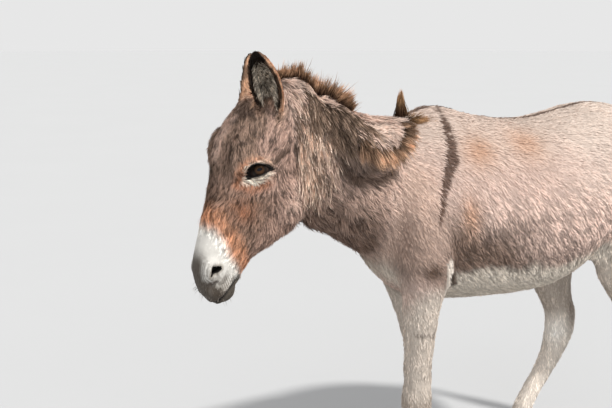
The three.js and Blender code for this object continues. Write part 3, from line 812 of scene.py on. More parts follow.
def in_eye(own, sign):
    """Distance outside the lids' edge, and the angle round the opening from its outer corner, + upwards."""
    u, v, w = eye_axes(sign)
    d = own - (EYES[sign] - OFFSET)
    x, y = d @ u - LID_MIDDLE[0], d @ v - LID_MIDDLE[1]
    angle = np.arctan2(y, x)
    near = np.abs(d @ w) < 0.045
    return np.where(near, np.hypot(x, y) - lid_reach(angle), 1.0), angle


def in_nostril(own):
    """Distance outside the edge of the nearer nostril. Its hollow counts as inside."""
    nearest = np.full(len(own), 1.0)
    for centre, (u, v, w) in NOSTRILS.values():
        d = own - centre
        x, y = d @ u, d @ v
        outside = np.hypot(x, y) - nostril_reach(np.arctan2(y, x))
        nearest = np.where(np.abs(d @ w) < 0.03, np.minimum(nearest, outside), nearest)
    return nearest


# Paths of the markings and of painted shade, in millimetres.
SHOULDER_STRIPE = [(20, -270, 1152), (62, -276, 1118), (93, -281, 1081), (119, -288, 1035),
                   (134, -312, 993), (149, -331, 955), (172, -358, 894), (183, -369, 832)]
STRIPE_HALF = (0.012, 0.014, 0.015, 0.018, 0.014, 0.0075, 0.005, 0.002)  # half its width along that path
BACK_STRIPE = [(0, -300, 1160), (0, 0, 1130), (0, 250, 1160), (0, 420, 1150), (0, 560, 1075)]
CREST_FRONT = [(62, -660, 1150), (80, -610, 1080), (90, -575, 1035)]
# painted shade, with darker hair, along the underside of the fallen crest's roll
UNDER_ROLL = [(80, -604, 1034), (88, -568, 1003), (95, -512, 990), (103, -465, 1010)]
ARMPIT = [(184, -327, 764), (174, -318, 735), (157, -314, 684)]
# painted shade in each armpit, behind the elbow
ARMPIT_DARK = [(166, -300, 722), (150, -290, 696)]
# painted shade along a crease of the forelegs
KNEE_CREASE = [(140, -402, 566), (150, -376, 561), (146, -345, 556)]
# paths of painted shade in the face's creases and the hollow behind the eye
LIP_CREASE = [(61, 459, -29), (58, 474, -38)]  # these three in the head's frame
NOSTRIL_FOLD = [(47, 514, -8), (42, 528, 6)]
TEMPLE_HOLLOW = [(87, 140, -49), (86, 156, -40), (86, 178, -30)]

# Soft patches of colour: the paint, how much of it, its middle and its size.
FLANK_PATCHES = [("rust", 0.5, (0.180, -0.262, 0.895), (0.05, 0.04, 0.08))]
BACK_PATCHES = [
    ("rust", 0.6, (0.13, -0.207, 1.05), 0.075),
    ("rust", 0.5, (0.134, -0.05, 1.06), 0.09),
    ("rust", 0.3, (-0.13, -0.17, 1.04), 0.08),
    ("rust", 0.3, (-0.13, 0.05, 1.06), 0.08),
]
NECK_PATCHES = [
    # partly painted shade, with darker hair, on the lower side of the roll
    ("crest_front", 0.8, (0.110, -0.545, 1.03), (0.08, 0.08, 0.06)),
    ("throat", 0.45, (0.155, -0.43, 0.82), (0.12, 0.11, 0.12)),
]
CREST_TOP = (0.9, (0.075, -0.50, 1.105), (0.07, 0.085, 0.06))
CREST_BACK = (0.5, (0.02, -0.70, 1.23), 0.06)
CHEST_PATCHES = [
    # partly painted shade on the chest, under the neck
    ("elbow", 0.75, (0.05, -0.500, 0.81), (0.07, 0.05, 0.06)),
    ("belly", 0.85, (0.045, -0.435, 0.720), (0.11, 0.085, 0.075)),
    ("elbow", 0.95, (0.185, -0.385, 0.748), (0.10, 0.060, 0.045)),
]


def add_patches(mix, places, patches, amount=1):
    for name, strength, middle, size in patches:
        mix(name, amount * strength * hump(places, middle, size))


def flank_colour(own, mix):
    """Pale back, darker and warmer low flank that is partly painted shade, pale belly, and warm patches on
    the back.
    """
    _, y, z = own.T
    wander = noise(own, 0.09)
    mix("back", smooth(0.98, 1.10, z + 0.03 * wander))
    dark_top = 0.955 - 0.34 * (y + 0.30)  # the dark of the low flank sinks towards the hind legs
    low = smooth(dark_top + 0.02, dark_top - 0.15, z + 0.03 * wander)
    low *= smooth(0.34, 0.05, y) * smooth(-0.42, -0.30, y)
    # partly painted shade: the low flank darkens, most of all behind the shoulder
    mix("low_flank", low * (0.42 + 0.5 * smooth(0.04, -0.16, y + 0.05 * wander)))
    mix("shank", 0.30 * smooth(-0.10, 0.25, y) * smooth(0.85, 0.98, z))
    add_patches(mix, folded(own), FLANK_PATCHES)
    add_patches(mix, own, BACK_PATCHES)
    belly_top = 0.735 + 0.012 * noise(own, 0.05, 2) + 0.03 * smooth(0.05, 0.3, y)
    belly = smooth(belly_top + 0.018, belly_top - 0.022, z)
    mix("belly", belly * smooth(-0.34, -0.27, y) * smooth(0.42, 0.25, y))


def neck_colour(own, shares, mix):
    """The neck and shoulder, with a dark throat and chest that are partly painted shade under the head,
    painted shade with darker hair under the fallen crest's roll, and a pale top to the fallen crest.
    """
    _, y, z = own.T
    neck = share(shares, "neck")
    mix("neck", neck)
    mix("shoulder", smooth(-0.30, -0.40, y) * smooth(0.70, 0.80, z) * smooth(1.08, 0.98, z) * (1 - neck))
    # partly painted shade: the throat darkens under the head
    mix("throat", 0.92 * neck * smooth(1.03, 0.91, z + 0.4 * (y + 0.65)))
    add_patches(mix, own, NECK_PATCHES)
    crest_front = nearest_on(own, CREST_FRONT)[0] + 0.008 * noise(own, 0.09)
    mix("crest_front", 0.9 * smooth(0.065, 0.02, crest_front))
    # painted shade, with darker hair, under the roll of the fallen crest
    mix("dark", 0.7 * smooth(0.024, 0.005, nearest_on(own, UNDER_ROLL)[0]))
    mix("plateau", CREST_TOP[0] * hump(own, *CREST_TOP[1:]))
    mix("plateau", CREST_BACK[0] * neck * hump(own, *CREST_BACK[1:]))
    # partly painted shade: dark low on the front of the chest
    mix("throat", 0.75 * smooth(0.80, 0.74, z) * smooth(-0.42, -0.46, y))


def elbow_colour(own, mix):
    """Dark elbows, a dark chest that is partly painted shade, the pale fold behind each elbow, and painted
    shade in each armpit.
    """
    places = folded(own)
    add_patches(mix, places, CHEST_PATCHES)
    mix("shank", 0.85 * smooth(0.022, 0.008, nearest_on(places, ARMPIT)[0]))
    # painted shade in the armpit
    mix("dark", 0.9 * smooth(0.018, 0.007, nearest_on(places, ARMPIT_DARK)[0]))


HOCKS = np.array([(-0.078, 0.302, 0.418), (0.078, 0.502, 0.418)])
KNEE_LEVEL = 0.355


def leg_colour(own, shares, mix):
    """Pale legs, with darker knees, fetlocks and backs of the hocks, and painted shade in a crease of each
    foreleg.
    """
    x, y, z = folded(own).T
    leg = share(shares, "leg")
    wander = 0.02 * noise(own, 0.05)
    fore = smooth(0.1, 0.0, y)
    top = np.where(y < 0, 0.738, 0.80)
    mix("leg", leg * smooth(top, top - np.where(y < 0, 0.045, 0.18), z + wander))
    mix("shank", leg * 0.8 * smooth(0.50, 0.33, z + wander))
    mix("shank", leg * 0.6 * smooth(0.095, 0.07, x) * smooth(0.78, 0.68, z))
    knee = hump(own * [0, 0, 1], (0, 0, KNEE_LEVEL), 0.04) * smooth(0.2, 0.0, y) * leg
    mix("fetlock", 0.35 * knee + 0.38 * leg * fore * smooth(0.55, 0.35, z))
    mix("fetlock", 0.5 * leg * (1 - fore) * smooth(0.46, 0.49, z) * smooth(0.66, 0.55, z))
    mix("hock", 0.95 * leg * sum(hump(own, hock, (0.09, 0.065, 0.065)) for hock in HOCKS))
    behind = HOCKS + [0, 0.058, 0.045]
    mix("elbow", 0.6 * leg * sum(hump(own, place, (0.09, 0.040, 0.080)) for place in behind))
    mix("fetlock", leg * (0.35 * smooth(0.19, 0.15, z) + 0.35 * smooth(0.10, 0.075, z)))
    # painted shade in the crease
    mix("dark", 0.6 * leg * smooth(0.007, 0.003, nearest_on(folded(own), KNEE_CREASE)[0]))


def stripes(own, shares, mix):
    """The cross: one stripe down each shoulder and one along the back, with ragged edges."""
    ragged = 0.0012 * noise(own, 0.010, 1) + 0.0015 * noise(own, 0.03, 2)
    distance, place = nearest_on(folded(own), SHOULDER_STRIPE)
    half = np.interp(place, np.linspace(0, 1, len(STRIPE_HALF)), STRIPE_HALF)
    cross = smooth(half + 0.003, half - 0.003, distance + ragged)
    near_back = smooth(0.08, 0.05, nearest_on(own * [0.9, 1, 1], BACK_STRIPE)[0])
    back = smooth(0.014, 0.009, np.abs(own[:, 0]) + ragged) * near_back
    mix("stripe", 0.92 * np.maximum(cross, 0.9 * back) * (1 - share(shares, "head", "ear")))


def muzzle_edge(own):
    """How far below the line where the face turns white a place is. The line runs back towards the jaw."""
    _, along, dorsal = in_head(own)
    return along - (0.388 + 0.75 * np.maximum(0, 0.045 - dorsal))


def face_colour(own, shares, mix):
    """Brown forehead and nose, paler cheeks, and rust above the white muzzle. A pale strip down the
    forehead is painted light; the middle of the forehead is darkened as painted shadow of the ears, and the
    nose bridge partly so.
    """
    face = on_face(own)
    x, along, dorsal = face.T
    head = share(shares, "head")
    wander = noise(own, 0.035, 1)
    patchy = noise(own, 0.020, 2)
    mix("cheek", head)
    mix("forehead", head * smooth(0.012, 0.045, dorsal + 0.01 * wander) * smooth(0.30, 0.24, along))
    mix("shoulder", head * 0.6 * smooth(-0.08, -0.13, dorsal) * smooth(0.33, 0.25, along))
    # painted light: a pale strip down the middle of the forehead, where the light falls
    painted_light_strip = smooth(0.24, 0.20, along) * smooth(0.08, 0.12, along)
    mix("shoulder", head * 0.8 * smooth(0.030, 0.012, x) * painted_light_strip)
    mix("face", head * 0.85 * smooth(0.235, 0.30, along + 0.012 * wander) * smooth(-0.11, -0.04, dorsal))
    mix("face", head * 0.35 * smooth(-0.06, -0.11, dorsal) * smooth(0.30, 0.36, along))
    # darker nose bridge, partly painted shadow of the ears
    mix("dark", head * 0.45 * hump(face, (0, 0.29, 0.075), (0.036, 0.075, 0.035)))
    mix("throat", head * 0.4 * smooth(-0.14, -0.19, dorsal))
    mix("poll", head * smooth(0.07, 0.02, along) * smooth(0.0, 0.03, dorsal))
    # painted shadow of the ears on the middle of the forehead
    mix("forehead", head * 0.5 * hump(own, (0, -0.93, 1.15), 0.06))
    mix("eye_rust", head * (0.5 + 0.25 * patchy) * hump(face, (0.06, 0.32, 0.0), (0.05, 0.05, 0.045)))
    below = muzzle_edge(own) + 0.004 * wander + 0.003 * patchy
    rusty = smooth(-0.075, -0.030, below) * smooth(-0.13, -0.07, dorsal)
    mix("face_rust", head * (0.72 + 0.2 * patchy) * rusty)
    mix("muzzle", head * smooth(-0.022, 0.018, below))


def nose_colour(own, shares, mix):
    """Grey lips and nose on the white muzzle, with streaks, wrinkles over the mouth, and a dark chin. The
    nose's dark front is partly painted shade, and the dark wrinkles and the black line of the mouth are
    painted shade.
    """
    x, along, dorsal = on_face(own).T
    head = share(shares, "head")
    wander = noise(own, 0.035, 1)
    patchy = noise(own, 0.020, 2)
    above, ahead = from_mouth(along, dorsal)
    mix("lips", head * 0.6 * smooth(0.480, 0.530, along + 0.004 * wander) * smooth(0.0, -0.03, dorsal))
    # painted shade: dark lines in the wrinkles over the upper lip
    wrinkles = np.sin((along + dorsal) * 740 + 2 * noise(own, 0.015, 2)) * smooth(0.482, 0.500, along)
    broken = smooth(-0.6, 0.3, noise(own, 0.009, 3))
    mix("nose", head * 0.9 * broken * np.maximum(wrinkles, 0) * smooth(-0.015, -0.030, dorsal))
    specks = smooth(0.1, 0.9, noise(own, 0.007, 3) + 0.4 * patchy) * smooth(0.425, 0.47, along)
    mix("nose", head * 0.30 * specks)
    streaks = smooth(-0.5, 0.5, np.sin(x * 900 + 3 * noise(own, 0.02, 2))) * smooth(0.075, 0.045, x)
    mix("nose", head * 0.6 * streaks * smooth(0.465, 0.505, along))
    # partly painted shade: the front of the nose turns dark; the tips of the lips are grey too
    front = smooth(0.044, 0.020, x + 0.003 * patchy) * smooth(0.440, 0.492, along)
    front = front * smooth(-0.01, 0.02, dorsal)
    edge = 0.512 + 0.5 * np.maximum(0, -0.01 - dorsal)
    lower = smooth(edge, edge + 0.02, along + 0.005 * wander)
    mix("nose", head * 0.93 * np.maximum(front, lower))
    mix("chin", head * 0.95 * smooth(0.001, -0.003, above) * smooth(0.462, 0.50, along))
    # painted shade: a black line along the mouth's slit
    mix("lid", head * ahead * np.exp(-((above / 0.0048) ** 2)))


def face_creases(own, shares, mix):
    """Painted shade in the creases of the face and the hollow of the temple, the nostrils' grey rims, and
    black painted shade inside the nostrils.
    """
    face = on_face(own)
    head = share(shares, "head")
    # painted shade in the crease behind the lips and the fold under the nostril
    mix("dark", 0.8 * head * smooth(0.0045, 0.0015, nearest_on(face, LIP_CREASE)[0]))
    mix("dark", 0.8 * head * smooth(0.007, 0.002, nearest_on(face, NOSTRIL_FOLD)[0]))
    rim = in_nostril(own)
    mix("lips", head * 0.6 * smooth(0.009, 0.004, rim))
    # black painted shade inside the nostrils, reaching just over their edges
    mix("lid", head * smooth(0.0022, 0.0006, rim))
    # painted shade in the hollow of the temple, behind the eye
    mix("dark", 0.85 * head * smooth(0.011, 0.0035, nearest_on(face, TEMPLE_HOLLOW)[0]))


def eye_colour(own, mix):
    """Black lids, a pale ring round them, then rust. The ring is widest below and at the inner corner."""
    patchy = noise(own, 0.006, 3)
    for sign in (1, -1):
        distance, angle = in_eye(own, sign)
        s, c = np.sin(angle), np.cos(angle)
        furry = distance + 0.0035 * patchy
        mix("brow", 0.7 * smooth(0.040, 0.018, furry) * smooth(-0.1, 0.5, s))
        width = 0.0095 - 0.0055 * np.minimum(0, s) - 0.0065 * np.minimum(0, c)
        mix("eye_rust", 0.65 * smooth(width + 0.026, width + 0.004, furry) * smooth(0.9, 0.2, c))
        pale = 0.85 - 0.35 * smooth(0.2, 0.8, s)
        mix("eye_ring", pale * smooth(width + 0.005, width - 0.005, furry) * smooth(1.0, 0.75, c))
        tapers = 0.0030 + 0.004 * smooth(0.86, 0.99, np.abs(c))
        mix("lid", smooth(tapers + 0.0016, tapers - 0.0008, distance))


def ear_colour(own, shares, mix):
    """Tan backs with a dark rim and tip, and a dark hollow. The right ear has a dark band too."""
    ear = share(shares, "ear")
    for sign in (1, -1):
        this = ear * (own[:, 0] * sign > 0)
        t, inside, edge = in_ear(own, sign)
        hollow = smooth(-0.0005, 0.0012, inside)
        mix("ear_back", this)
        mix("brow", this * 0.5 * smooth(0.25, 0.05, t))
        rim = 0.75 * smooth(0.80, 0.97, t) + 0.95 * edge * smooth(0.15, 0.35, t)
        mix("ear_rim", this * (1 - hollow) * rim)
        band = smooth(0.14, 0.05, np.abs(t - 0.62)) * (sign < 0)
        mix("dark", this * (1 - hollow) * 0.7 * band)
        mix("ear_skin", this * hollow)
        mix("ear_rim", this * hollow * np.maximum(smooth(0.66, 0.78, t), 0.9 * edge * smooth(0.05, 0.2, t)))


def coat_colour(own, shares):
    """Linear colour of the coat at places in the animal's own frame."""
    colour = np.tile(PAINT["flank"], (len(own), 1))

    def mix(name, amount):
        amount = np.clip(amount, 0, 1)[:, None]
        colour[:] = colour * (1 - amount) + PAINT[name] * amount

    flank_colour(own, mix)
    neck_colour(own, shares, mix)
    elbow_colour(own, mix)
    leg_colour(own, shares, mix)
    mix("tail", share(shares, "tail"))
    stripes(own, shares, mix)
    face_colour(own, shares, mix)
    nose_colour(own, shares, mix)
    face_creases(own, shares, mix)
    eye_colour(own, mix)
    ear_colour(own, shares, mix)
    mottle = 1 + 0.07 * noise(own, 0.06, 2) + 0.06 * noise(own, 0.018, 3)
    return np.clip(colour * mottle[:, None], 0, 1)


# ---- The lie of the coat ----
def combing():
    """The way the hair runs over each vertex of the skin, square to the surface."""
    own = skin_own
    _, along, dorsal = in_head(own)
    x, y, z = own.T
    out = np.sign(x)
    down = np.array([0.0, 0.0, -1.0])
    back = np.array([0.0, 1.0, 0.0])
    steep = 0.45 + 0.75 * smooth(1.08, 0.95, z) * smooth(0.3, -0.1, y) + 0.35 * smooth(0.98, 0.80, z)
    trunk = back + np.outer(steep - 0.9 * smooth(0.72, 0.66, z), down)
    neck = 0.75 * back + np.outer(0.75 + 0.4 * smooth(0.95, 0.85, z), down)
    cheek = smooth(-0.03, -0.10, dorsal) * smooth(0.42, 0.30, along)
    head = ALONG + np.outer(cheek, 0.9 * back) + np.outer(0.25 * smooth(0.25, 0.12, along) * out, SIDE)
    ear = np.zeros_like(own)
    for sign in (1, -1):
        ear[x * sign > 0] = ear_frame(sign)[2]
    leg = np.tile(down + 0.12 * back, (len(own), 1))
    tail = np.tile(down + 0.2 * back, (len(own), 1))
    ways = {"trunk": trunk, "neck": neck, "head": head, "ear": ear, "tail": tail, "leg": leg}
    total = sum(unit(ways[r]) * skin_shares[:, [k]] for k, r in enumerate(REGIONS))
    for _ in range(6):
        total = (total + skin_average(total)) / 2
    # Round each eye the hair runs out of the inner corner and over both lids.
    for sign in (1, -1):
        distance, angle = in_eye(own, sign)
        u, v = eye_axes(sign)[:2]
        round_eye = np.outer(np.cos(angle) * 0.6 + 0.9, u) + np.outer(np.sin(angle) * 0.7, v)
        near = (smooth(0.035, 0.008, distance) * 0.8)[:, None]
        total = total * (1 - near) + unit(round_eye) * near
    total -= skin_normals * (total * skin_normals).sum(axis=1, keepdims=True)
    return unit(total)


def turned(v, normals, angle):
    """Vectors turned about their normals."""
    return v * np.cos(angle)[:, None] + np.cross(normals, v) * np.sin(angle)[:, None]


# ---- Where a tuft's patch lies on the unwrap of a region ----
def around(a, b):
    return np.arctan2(a, b) / (2 * np.pi) + 0.5


RIGHT_LEGS_LEAN = ((0.0, 0.16, 0.39, 0.56, 0.82), (0.33, 0.32, 0.16, 0.12, 0.0))  # heights, and steps aside
HIND_LEG, FORE_LEG, LEG_SIDE = 0.46, -0.37, 0.10  # own y of the left legs' axes, and their own x


def unwrapped_ears(own):
    """Each ear has half of the width, and its inside and outside a quarter each."""
    u, v = np.zeros(len(own)), np.zeros(len(own))
    for sign in (1, -1):
        this = own[:, 0] * sign > 0
        base, _, _, out, across = ear_frame(sign)
        d = own[this] - base
        t, inside, _ = in_ear(own[this], sign)
        u[this] = (around(d @ across, -(d @ out)) + (inside > 0)) / 4 + (sign < 0) / 2
        v[this] = t
    return u, v


def unwrapped_legs(own):
    """Each leg has a quarter of the width."""
    x, y, z = own.T
    right, hind = x < 0, y > 0
    lean = np.where(right, np.interp(z, *RIGHT_LEGS_LEAN), 0)
    axis = np.where(hind, HIND_LEG - lean, FORE_LEG + 0.44 * lean)
    return around(y - axis, np.abs(x) - LEG_SIDE) / 4 + right / 2 + hind / 4, z / 1.05


def unwrapped(region, own):
    """A region of the skin laid flat from the axis that runs down its middle: u round it and v along it."""
    x, y, z = own.T
    if region == "ear":
        return unwrapped_ears(own)
    if region == "leg":
        return unwrapped_legs(own)
    if region == "head":
        side, along, dorsal = in_head(own)
        return around(side, dorsal + 0.04), (along + 0.06) / 0.66
    if region == "neck":
        axis = np.interp(y, [-0.8, -0.3], [1.09, 0.90])
        return around(x - 0.01, z - axis), (y + 0.84) / 0.56
    if region == "tail":
        return around(x, y - 0.645), z / 1.2
    return around(x, z - 0.88), (y + 0.50) / 1.12


def write_vectors(mesh, name, vectors):
    attribute = mesh.attributes.new(name, "FLOAT_VECTOR", "POINT")
    attribute.data.foreach_set("vector", vectors.astype(np.float32).ravel())


def write_colours(mesh, rgb):
    rgba = np.ones((len(rgb), 4), np.float32)
    rgba[:, :3] = np.clip(rgb, 0, 1)
    mesh.attributes.new("coat", "FLOAT_COLOR", "POINT").data.foreach_set("color", rgba.ravel())


PATCH = 0.0015  # half the width of a tuft's patch


def tuft_strips(spines, sides, widths):
    """The vertices of flat tapering tufts, and the triangles of one of them."""
    count, levels = spines.shape[:2]
    rows = levels - 1
    taper = np.interp(np.arange(rows) / rows, [0, 0.35, 1], [0.8, 1.0, 0.55])
    across = sides[:, None, :] * (widths[:, None] * taper / 2)[:, :, None]
    verts = np.empty((count, 2 * rows + 1, 3))
    verts[:, 0 : 2 * rows : 2] = spines[:, :rows] - across
    verts[:, 1 : 2 * rows : 2] = spines[:, :rows] + across
    verts[:, -1] = spines[:, -1]
    faces = []
    for a in range(0, 2 * rows - 2, 2):
        faces += [(a, a + 2, a + 1), (a + 1, a + 2, a + 3)]
    faces.append((2 * rows - 2, 2 * rows, 2 * rows - 1))
    return verts, np.array(faces)


def tuft_normals(spines, sides, normals):
    """Normals between the tufts' own and the surface's, so that a lock is lit as one soft form."""
    first = np.cross(sides, unit(spines[:, 1] - spines[:, 0]))
    last = np.cross(sides, unit(spines[:, -1] - spines[:, -2]))
    flat = unit(-(first + last))
    soft = unit(normals * 0.55 + flat * 0.55 + rng.normal(0, 0.15, flat.shape))
    wrong = np.minimum((soft * -unit(first)).sum(axis=1), (soft * -unit(last)).sum(axis=1)) < 0.08
    soft[wrong] = flat[wrong]
    return soft


def tuft_colours(colours, tips, level):
    """Colours that change from root to tip. A tuft is darkest at its root, where others shade it."""
    shade = np.interp(level, [0, 0.45, 1], [0.62, 1.03, 1.15])
    blend = smooth(0.35, 1.0, level)[None, :, None]
    return (colours[:, None, :] * (1 - blend) + tips[:, None, :] * blend) * shade[None, :, None]


def tuft_patches(region, roots, level):
    """A small patch of the unwrap for each tuft, at its root's place."""
    corner = np.empty((len(level), 2))
    corner[:, 0] = np.append(np.tile([-PATCH, PATCH], len(level) // 2), 0)
    corner[:, 1] = np.interp(level, [0, 1], [-PATCH, PATCH])
    return np.clip(np.stack(unwrapped(region, roots), axis=1), 0.002, 0.998)[:, None] + corner[None]


def tuft_mesh(name, region, roots, spines, sides, widths, normals, colours, tips):
    """Joins flat tapering tufts into one piece.

    spines is tufts x levels x 3, and its last level is the tip. sides are unit vectors across the tufts.
    colours are those at the root, and tips those at the tip."""
    verts, faces = tuft_strips(spines, sides, widths)
    count, per_tuft = verts.shape[:2]
    loops = (faces[None] + (np.arange(count) * per_tuft)[:, None, None]).ravel()
    obj = new_object(name, (verts + OFFSET).reshape(-1, 3), loops, 3)
    mesh = obj.data
    write_vectors(mesh, "custom_normal", np.repeat(tuft_normals(spines, sides, normals), per_tuft, axis=0))
    rows = per_tuft // 2
    level = np.append(np.repeat(np.arange(rows) / rows, 2), 1.0)
    write_colours(mesh, tuft_colours(colours, tips, level).reshape(-1, 3))
    uv = tuft_patches(region, roots, level).reshape(-1, 2)[loops]
    mesh.uv_layers.new(name="OFBake").data.foreach_set("uv", uv.astype(np.float32).ravel())
    return obj


# ---- Tufts that grow out of the skin ----
LENGTH = {"trunk": 16, "neck": 22, "head": 15, "ear": 10, "tail": 26, "leg": 13}  # mm
WIDTH = {"trunk": 2.5, "neck": 2.0, "head": 1.4, "ear": 1.6, "tail": 2.6, "leg": 2.1}  # mm
LIFT = {"trunk": 0.13, "neck": 0.18, "head": 0.18, "ear": 0.14, "tail": 0.15, "leg": 0.13}  # of the length
# How far the locks' colours differ.
CONTRAST = {"trunk": 0.18, "neck": 0.62, "head": 0.72, "ear": 0.35, "tail": 0.30, "leg": 0.28}
LOCK = {"trunk": 3.8, "neck": 3.8, "head": 2.1, "ear": 3.0, "tail": 4.6, "leg": 3.6}  # mm across a lock
LOCK_REACH = {"trunk": 16, "neck": 18, "head": 8, "ear": 10, "tail": 25, "leg": 13}  # mm, middle to end
LOCK_STEPS = 7
COUNTS = {"head": 60000, "neck": 40000, "trunk": 34000, "ear": 12000, "leg": 25000, "tail": 5000}
RIGHT_COUNTS = {"head": 43000, "neck": 30000, "trunk": 28000, "ear": 10000, "leg": 24000}
COAT_PIECES = [("face", "head"), ("neck", "neck"), ("shoulder", "trunk"), ("rump", "trunk"), ("ear", "ear"),
               ("legs", "leg")]  # what each is called, and its region
TRUNK_SPLIT = 0.06  # own y between the coats of the shoulder and the rump
TUFT_SINK = 0.0008  # of a tuft's root into the skin
TUFT_LEVELS = np.array([0, 0.5, 1.0])


def strokes(points, way, size, reach, layer):
    """Noise drawn out along the hair: hairs of one lock are alike, and locks differ. From -1 to 1."""
    total = sum(noise(points + way * s, size, layer) for s in np.linspace(-reach, reach, LOCK_STEPS))
    return np.tanh(1.1 * total / (total.std() + 1e-6))


def by_region(table, shares):
    return shares @ np.array([table[r] for r in REGIONS], float)


def bare_skin(own):
    """1 where no hair grows: inside the nostrils and mouth, and on the lids' edges."""
    _, along, dorsal = in_head(own)
    above, ahead = from_mouth(along, dorsal)
    bare = np.maximum(smooth(0.0025, 0.001, in_nostril(own)), ahead * smooth(0.003, 0.0015, np.abs(above)))
    for sign in (1, -1):
        bare = np.maximum(bare, smooth(0.0035, 0.002, in_eye(own, sign)[0]))
    return bare


def muzzle_bareness(own, shares):
    return share(shares, "head") * smooth(-0.02, 0.05, muzzle_edge(own))


def scatter(count, weight):
    """Random roots over the skin, as thick as the weight of its vertices says."""
    a, b, c = (skin_own[skin_tris[:, k]] for k in range(3))
    area = np.linalg.norm(np.cross(b - a, c - a), axis=1)
    chance = np.cumsum(area * weight[skin_tris].mean(axis=1))
    tri = np.searchsorted(chance, rng.random(count) * chance[-1])
    r, s = rng.random((2, count))
    flip = r + s > 1
    r, s = np.where(flip, 1 - r, r), np.where(flip, 1 - s, s)
    parts = np.stack([1 - r - s, r, s], axis=1)

    def at(values):
        return (values[skin_tris[tri]] * parts[:, :, None]).sum(axis=1)

    normals = unit(at(skin_normals))
    ahead = at(skin_comb)
    ahead -= normals * (ahead * normals).sum(axis=1, keepdims=True)
    return at(skin_own), normals, unit(ahead), at(skin_shares)


def wave_of(own, shares):
    """How far, in radians, the coat turns from its lie, in waves of several sizes."""
    wave = noise(own, 0.070) * 0.35 + noise(own, 0.020, 1) * 0.45 + noise(own, 0.009, 2) * 0.20
    return wave * np.where(share(shares, "trunk", "leg") > 0.5, 0.6, 1.0)


def locks_of(region, own, ahead, across):
    """How high or low in its lock each tuft is, and which way the lock slopes there."""
    broad, reach = LOCK[region] / 1000, LOCK_REACH[region] / 1000
    lock = strokes(own, ahead, broad, reach, 3)
    aside = across * broad * 0.4
    slope = strokes(own + aside, ahead, broad, reach, 3) - strokes(own - aside, ahead, broad, reach, 3)
    return lock, slope


def rougher_places(own):
    """Locks show more on the lower flank, and less on the back and on top of the crest."""
    _, y, z = own.T
    trunk = smooth(-0.34, -0.26, y)
    crest_top = 0.6 * hump(own, (0.075, -0.48, 1.09), (0.08, 0.11, 0.07))
    shoulder = 0.35 * smooth(-0.40, -0.30, y) * (1 - trunk)
    low_flank = 1.6 * smooth(0.97, 0.85, z) * smooth(0.66, 0.74, z)
    back = 0.60 * smooth(0.93, 1.03, z)
    return 1 - (crest_top + shoulder) + trunk * (low_flank - back)


def longer_places(own, shares):
    """The coat is longer under the jaw, on the throat, behind the fetlocks and along the belly."""
    _, along, dorsal = in_head(own)
    z = own[:, 2]
    jaw = share(shares, "head") * smooth(-0.12, -0.18, dorsal) * smooth(0.44, 0.36, along)
    throat = share(shares, "neck") * smooth(0.96, 0.88, z)
    belly = smooth(0.64, 0.615, z) * share(shares, "trunk")
    fetlock = share(shares, "leg") * hump(own * [0, 0, 1], (0, 0, 0.15), 0.035)
    return 1 + 0.5 * jaw + 0.4 * throat + 0.5 * belly + 0.5 * fetlock


def shorter_places(own, shares):
    """The coat is shortest on the muzzle, round the eyes and at the tips of the ears."""
    short = 1 - 0.72 * muzzle_bareness(own, shares)
    ear_height = in_ear(own, 1 if own[0, 0] > 0 else -1)[0]
    short *= 1 - 0.6 * share(shares, "ear") * smooth(0.80, 0.97, ear_height)
    for sign in (1, -1):
        short *= 1 - 0.55 * smooth(0.022, 0.006, in_eye(own, sign)[0])
    return short


def lying_spines(roots, normals, ahead, length, lift):
    """Middle lines of tufts that rise a little out of the skin and bend down over it."""
    rise = np.sin(TUFT_LEVELS * 2.2) * 1.05
    spines = roots[:, None] - normals[:, None] * TUFT_SINK
    spines = spines + ahead[:, None] * (length[:, None] * TUFT_LEVELS)[:, :, None]
    return spines + normals[:, None] * (length[:, None] * lift[:, None] * rise)[:, :, None]


def coat_piece(name, region, count, weight):
    """One stretch of the coat: short tufts lying along the skin, gathered into small wavy locks."""
    roots, normals, ahead, shares = scatter(count, weight)
    size = rng.normal(1, 0.2, count).clip(0.5, 1.6)
    ahead = turned(ahead, normals, wave_of(roots, shares))
    across = np.cross(normals, ahead)
    lock, slope = locks_of(region, roots, ahead, across)
    ahead = turned(ahead, normals, rng.normal(0, 0.13, count) - 0.10 * slope)
    muzzle = muzzle_bareness(roots, shares)
    fine = 1 - 0.5 * muzzle
    length = by_region(LENGTH, shares) / 1000 * size
    length = length * shorter_places(roots, shares) * longer_places(roots, shares)
    width = by_region(WIDTH, shares) / 1000 * rng.normal(1, 0.15, count).clip(0.6, 1.4) * fine
    lift = by_region(LIFT, shares) * (1 + 0.55 * lock) * rng.normal(1, 0.25, count).clip(0.3, 2) * fine
    spines = lying_spines(roots, normals, ahead, length, lift)
    sides = unit(np.cross(normals, ahead) + normals * rng.normal(0, 0.22, count)[:, None])
    rough = rougher_places(roots)
    facing = unit(normals - across * (0.45 * slope * rough * (1 - muzzle))[:, None])
    contrast = by_region(CONTRAST, shares) * (1 - 0.6 * muzzle) * rough
    light = np.exp(contrast * (1.15 * lock + rng.normal(0, 0.30, count)) - 0.5 * contrast**2)
    colours = coat_colour(roots, shares) * light.clip(0.4, 1.9)[:, None]
    tips = colours * 0.80 + 0.24 * colours.mean(axis=1, keepdims=True) + 0.008
    obj = tuft_mesh(name, region, roots, spines, sides, width, facing, colours, tips)
    obj.data.materials.append(MATERIALS["tufts"])
    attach(obj, "root")


